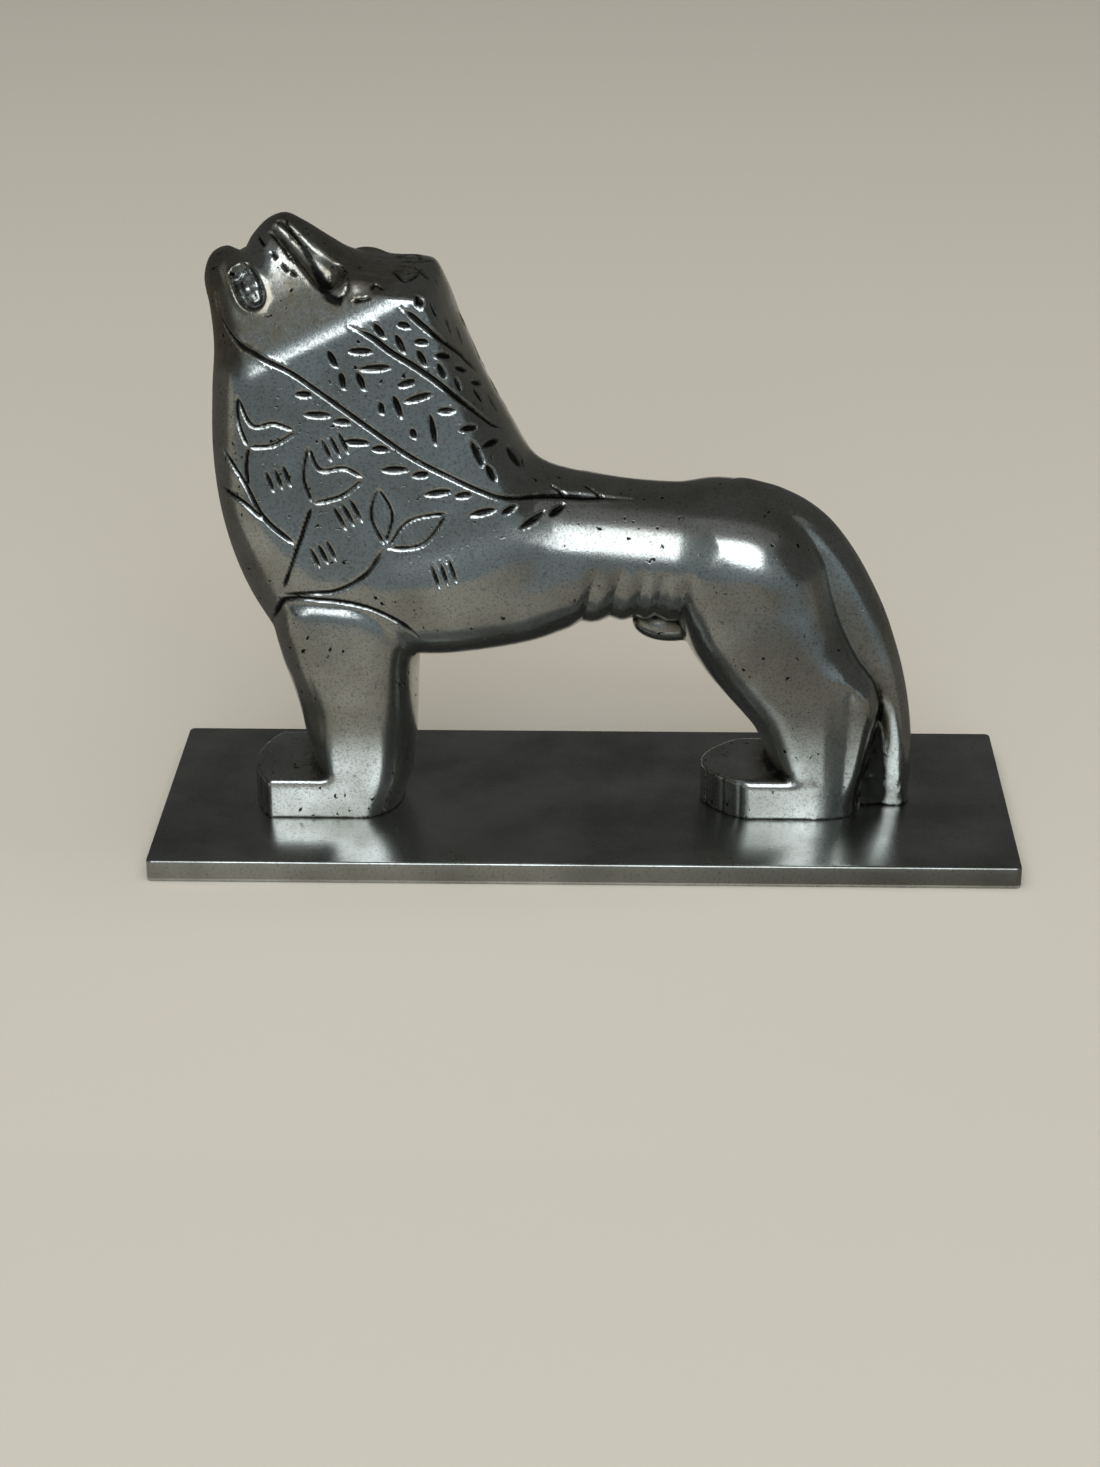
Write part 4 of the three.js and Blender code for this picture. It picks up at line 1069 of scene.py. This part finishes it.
def cut_flat(points, triangles):
    """Cuts the mesh off level just under the plate's top, and closes it there."""
    mesh = bpy.data.meshes.new("lion")
    mesh.from_pydata(points, [], triangles)
    work = bmesh.new()
    work.from_mesh(mesh)
    everything = [*work.verts, *work.edges, *work.faces]
    level = (0, 0, -INTO_PLATE)
    bmesh.ops.bisect_plane(work, geom=everything, plane_co=level, plane_no=(0, 0, 1), clear_inner=True)
    rims = [edge for edge in work.edges if edge.is_boundary]
    made = bmesh.ops.holes_fill(work, edges=rims, sides=0)
    bmesh.ops.triangulate(work, faces=made["faces"])
    work.to_mesh(mesh)
    work.free()
    return mesh


def make_lion(material):
    """The chased lion in the size of its solid, with its patina and painted shade kept as attributes."""
    mesh = cut_flat(*lion_mesh())
    flat = np.empty(len(mesh.vertices) * 3)
    mesh.vertices.foreach_get("co", flat)
    points, patina_and_shade, brown_shade = chased(flat.reshape(-1, 3))
    points[:, 2] = np.maximum(points[:, 2], -INTO_PLATE)
    low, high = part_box("lion")
    scale = (high.z - low.z) / PATTERN_TOP
    points = points * scale + [0, 0, low.z]
    mesh.vertices.foreach_set("co", points.ravel())
    for name, values in (("patina_and_shade", patina_and_shade), ("brown_shade", brown_shade)):
        mesh.attributes.new(name, "FLOAT", "POINT").data.foreach_set("value", values)
    mesh.polygons.foreach_set("use_smooth", [True] * len(mesh.polygons))
    mesh.update()
    return make_object("lion_casting", mesh, material)


# The plate: a slab with eased edges

PLATE_CORNER = 0.9 * MM
PLATE_EDGE = 0.3 * MM


def make_plate(material):
    """The plate in the size of its solid, with rounded corners and eased rims."""
    low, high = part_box("base_plate")
    middle, size = (low + high) / 2, high - low
    work = bmesh.new()
    bmesh.ops.create_cube(work, size=1, matrix=Matrix.LocRotScale(middle, None, size))
    upright = [e for e in work.edges if abs(e.verts[0].co.z - e.verts[1].co.z) > size.z / 2]
    bmesh.ops.bevel(work, geom=upright, offset=PLATE_CORNER, segments=5, affect="EDGES", profile=0.5)
    rims = [e for e in work.edges if e.calc_face_angle(0) > 1 and e.verts[0].co.z == e.verts[1].co.z]
    bmesh.ops.bevel(work, geom=rims, offset=PLATE_EDGE, segments=3, affect="EDGES", profile=0.5)
    mesh = bpy.data.meshes.new("plate")
    work.to_mesh(mesh)
    work.free()
    piece = make_object("plate_slab", mesh, material)
    for face in mesh.polygons:
        face.use_smooth = True
    mesh.set_sharp_from_angle(angle=radians(40))
    return piece


# Materials

def add(tree, kind, inputs, output, **settings):
    """Adds a node with its settings, and its inputs as values or links. Gives one of its outputs."""
    node = tree.nodes.new("ShaderNode" + kind)
    for name, value in settings.items():
        setattr(node, name, value)
    sockets = {socket.identifier: socket for socket in node.inputs}
    for name, value in inputs.items():
        if isinstance(value, bpy.types.NodeSocket):
            tree.links.new(value, sockets[name])
        else:
            sockets[name].default_value = value
    return next((socket for socket in node.outputs if socket.identifier == output), None)


def new_material(name):
    material = bpy.data.materials.new(name)
    material.use_nodes = True
    tree = material.node_tree
    tree.nodes.clear()
    return material, tree


def cast_pewter():
    """Cast pewter, filed and buffed: a soft grey mirror with painted brown shade, and near-black cuts
    and painted shade.
    """
    material, tree = new_material("buffed_cast_pewter")
    place = add(tree, "TexCoord", {}, "Object")
    patina_and_shade = add(tree, "Attribute", {}, "Fac", attribute_name="patina_and_shade")
    brown_shade = add(tree, "Attribute", {}, "Fac", attribute_name="brown_shade")
    # Clouds in the metal, blotches in the painted brown shade, the speckle of the casting skin, and pits
    clouds, blotches, speckle, pits = (
        add(tree, "TexNoise", {"Vector": place, "Scale": 1 / (size * MM), "Detail": detail}, "Fac")
        for size, detail in ((9, 5.0), (1.6, 4.0), (0.35, 3.0), (1.1, 2.0))
    )
    # Each noise between two of its values becomes a share between two others
    shares = []
    for noise, start, end, low, high in (
        (clouds, 0.35, 0.65, 0, 1),
        (clouds, 0.46, 0.54, 0, 1),
        (clouds, 0.3, 0.7, 0.17, 0.24),
        (blotches, 0.25, 0.62, 0.35, 0.95),
        (blotches, 0.3, 0.7, -0.15, 0.15),
        (speckle, 0.49, 0.76, 0, 0.6),
        (pits, 0.66, 0.71, 0, 1),
    ):
        limits = {"From Min": start, "From Max": end, "To Min": low, "To Max": high}
        shares.append(add(tree, "MapRange", {"Value": noise, **limits}, "Result"))
    cloudy, pitted_parts, dull, patchy, ragged, speckled, pitted = shares
    # Painted brown shade, in blotches
    brown = add(tree, "Math", {"Value": brown_shade, "Value_001": patchy}, "Value", operation="MULTIPLY")
    pit = add(tree, "Math", {"Value": pitted, "Value_001": pitted_parts}, "Value", operation="MULTIPLY")
    # Near-black: patina in the cuts and painted shade, with the pits
    dark = add(tree, "Math", {"Value": patina_and_shade, "Value_001": ragged}, "Value", operation="ADD")
    dark = add(tree, "MapRange", {"Value": dark, "From Min": 0.1, "From Max": 0.8}, "Result")
    dark = add(tree, "Math", {"Value": dark, "Value_001": pit}, "Value", operation="MAXIMUM")
    skin = colour("#d2d4d2")
    for share, shade in (
        (cloudy, "#b4b4af"), (brown, "#968a76"), (speckled, "#605e59"), (dark, "#262624"),
    ):
        colours = {"Factor_Float": share, "A_Color": skin, "B_Color": colour(shade)}
        skin = add(tree, "Mix", colours, "Result_Color", data_type="RGBA")
    for share, rougher in ((brown, 0.08), (dark, 0.2)):
        parts = {"Value": share, "Value_001": rougher, "Value_002": dull}
        dull = add(tree, "Math", parts, "Value", operation="MULTIPLY_ADD")
    grit = add(tree, "Math", {"Value": speckle, "Value_001": 0.45}, "Value", operation="MULTIPLY")
    height = add(tree, "Math", {"Value": grit, "Value_001": pit}, "Value", operation="SUBTRACT")
    bump = add(tree, "Bump", {"Height": height, "Strength": 0.8, "Distance": 0.03 * MM}, "Normal")
    metal = {"Base Color": skin, "Metallic": 1.0, "Roughness": dull, "Normal": bump}
    shader = add(tree, "BsdfPrincipled", metal, "BSDF")
    add(tree, "OutputMaterial", {"Surface": shader}, None)
    return material


def plate_pewter():
    """Rolled pewter plate, dulled by handling, with fine rubbed lines along its length."""
    material, tree = new_material("dulled_pewter_plate")
    place = add(tree, "TexCoord", {}, "Object")
    stretched = add(tree, "Mapping", {"Vector": place, "Scale": (0.05, 1, 1)}, "Vector")
    # Clouds in the metal, its speckle, and rubbed lines twenty times as long as they are wide
    clouds, speckle, rubbed = (
        add(tree, "TexNoise", {"Vector": at, "Scale": 1 / (size * MM), "Detail": detail}, "Fac")
        for at, size, detail in ((place, 16, 5.0), (place, 0.5, 3.0), (stretched, 0.4, 3.0))
    )
    shares = []
    for noise, start, end, low, high in (
        (clouds, 0.35, 0.65, 0, 1),
        (clouds, 0.3, 0.7, 0.2, 0.32),
        (speckle, 0.55, 0.8, 0, 0.6),
    ):
        limits = {"From Min": start, "From Max": end, "To Min": low, "To Max": high}
        shares.append(add(tree, "MapRange", {"Value": noise, **limits}, "Result"))
    cloudy, dull, speckled = shares
    skin = colour("#c4c5c2")
    for share, shade in ((cloudy, "#979791"), (speckled, "#5f5e5a")):
        colours = {"Factor_Float": share, "A_Color": skin, "B_Color": colour(shade)}
        skin = add(tree, "Mix", colours, "Result_Color", data_type="RGBA")
    height = add(tree, "Math", {"Value": speckle, "Value_001": 0.3}, "Value", operation="MULTIPLY")
    parts = {"Value": rubbed, "Value_001": 0.6, "Value_002": height}
    height = add(tree, "Math", parts, "Value", operation="MULTIPLY_ADD")
    bump = add(tree, "Bump", {"Height": height, "Strength": 0.4, "Distance": 0.04 * MM}, "Normal")
    metal = {"Base Color": skin, "Metallic": 1.0, "Roughness": dull, "Normal": bump}
    shader = add(tree, "BsdfPrincipled", metal, "BSDF")
    add(tree, "OutputMaterial", {"Surface": shader}, None)
    return material


def floor_stone():
    """Honed pale stone: even, warm and almost without sheen."""
    material, tree = new_material("honed_pale_stone")
    stone = {"Base Color": colour("#d9d5cb"), "Roughness": 0.8, "Specular IOR Level": 0.2}
    shader = add(tree, "BsdfPrincipled", stone, "BSDF")
    add(tree, "OutputMaterial", {"Surface": shader}, None)
    return material


# Stage: a pale floor, a window in front, and the dim room that polished metal mirrors

TABLE_FRONT = -0.107  # beyond this line the lion's sides mirror the room and not the table
PLATE_FRONT = -0.016  # the table's near part starts under the plate
PLATE_SIDE = 0.067
ROOM_FRONT = -2.4
ROOM_BACK = -0.3  # where the ceiling ends over the lion
ROOM_HEIGHT = 2.6
ROOM_HALF = 3.0
FLOOR_HALF = 6
CARD_LEVEL = 0.5 * MM  # how high the cards lie over the floor
LION_LEFT = -40 * MM
LION_RIGHT = 45 * MM


def level_sheet(left, right, front, back, height):
    """The corners of a level rectangle."""
    return [(left, front, height), (right, front, height), (right, back, height), (left, back, height)]


def make_sheet(name, corners, material):
    mesh = bpy.data.meshes.new(name)
    mesh.from_pydata(corners, [], [(0, 1, 2, 3)])
    sheet = make_object(name, mesh, material)
    return sheet


def glow(name, left, right):
    """An even light, or one that changes from left to right across the lion."""
    material, tree = new_material(name)
    place = add(tree, "TexCoord", {}, "Object")
    along = add(tree, "SeparateXYZ", {"Vector": place}, "X")
    across = {"Value": along, "From Min": LION_LEFT, "From Max": LION_RIGHT}
    share = add(tree, "MapRange", across, "Result")
    colours = {"Factor_Float": share, "A_Color": colour(left), "B_Color": colour(right)}
    tone = add(tree, "Mix", colours, "Result_Color", data_type="RGBA")
    light = add(tree, "Emission", {"Color": tone, "Strength": 1.0}, "Emission")
    add(tree, "OutputMaterial", {"Surface": light}, None)
    return material


def make_card(name, corners, left, right=None):
    """A lit sheet that only polished surfaces show."""
    card = make_sheet(name, corners, glow(name + "_light", left, right or left))
    card.visible_camera = False
    card.visible_diffuse = False
    card.visible_shadow = False
    card.visible_transmission = False


def make_stage():
    half, front, top = ROOM_HALF, ROOM_FRONT, ROOM_HEIGHT
    make_sheet("floor", level_sheet(-FLOOR_HALF, FLOOR_HALF, -FLOOR_HALF, FLOOR_HALF, 0), floor_stone())
    make_card("room_floor", level_sheet(-half, half, front, TABLE_FRONT, CARD_LEVEL), "#6f787c")
    near = level_sheet(-half, half, TABLE_FRONT, PLATE_FRONT, CARD_LEVEL)
    make_card("near_floor", near, "#9a978c", "#6e6b63")
    for name, left, right in (("left_floor", -half, -PLATE_SIDE), ("right_floor", PLATE_SIDE, half)):
        make_card(name, level_sheet(left, right, PLATE_FRONT, half, CARD_LEVEL), "#56544e")
    wall = [(-half, front, 0), (half, front, 0), (half, front, top), (-half, front, top)]
    make_card("room_wall", wall, "#737c7e")
    make_card("room_ceiling", level_sheet(-half, half, front, ROOM_BACK, top), "#77797a")


def area_light(name, place, size, radiance, hex_value, mirrored=True):
    data = bpy.data.lights.new(name, "AREA")
    data.shape = "RECTANGLE"
    data.size, data.size_y = size
    data.energy = radiance * pi * size[0] * size[1]
    data.color = colour(hex_value)[:3]
    lamp = bpy.data.objects.new(name, data)
    lamp.location = place
    lamp.rotation_euler = (-Vector(place)).to_track_quat("-Z", "Y").to_euler()
    lamp.visible_glossy = mirrored
    bpy.context.scene.collection.objects.link(lamp)


def make_lights():
    area_light("window", (0.03, -1.77, 0.91), (1.55, 1.52), 3.0, "#e9f1f6")
    area_light("ceiling", (0, -0.3, 1.6), (2.5, 2.5), 1.35, "#fffaf2", mirrored=False)
    world = bpy.data.worlds.new("room")
    world.use_nodes = True
    world.node_tree.nodes["Background"].inputs["Color"].default_value = colour("#4a4b49")
    world.node_tree.nodes["Background"].inputs["Strength"].default_value = 1.0
    bpy.context.scene.world = world
    bpy.context.scene.view_settings.view_transform = "Standard"


def make_camera():
    data = bpy.data.cameras.new("camera")
    data.lens = CAMERA_LENS
    data.clip_start = 0.01
    a, e, r = CAMERA_AZIMUTH, CAMERA_ELEVATION, CAMERA_ROLL
    back = Vector((sin(a) * cos(e), -cos(a) * cos(e), sin(e)))
    right = Vector((cos(a), sin(a), 0))
    up = back.cross(right)
    turned_right = right * cos(r) + up * sin(r)
    turned_up = up * cos(r) - right * sin(r)
    camera = bpy.data.objects.new("camera", data)
    axes = Matrix((turned_right, turned_up, back)).transposed().to_4x4()
    camera.matrix_world = Matrix.Translation(CAMERA_TARGET + back * CAMERA_DISTANCE) @ axes
    bpy.context.scene.collection.objects.link(camera)
    bpy.context.scene.camera = camera


make_camera()
make_lights()
make_stage()

lion = make_lion(cast_pewter())
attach(lion, "root")
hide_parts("lion")

plate = make_plate(plate_pewter())
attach(plate, "root")
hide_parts("base_plate")
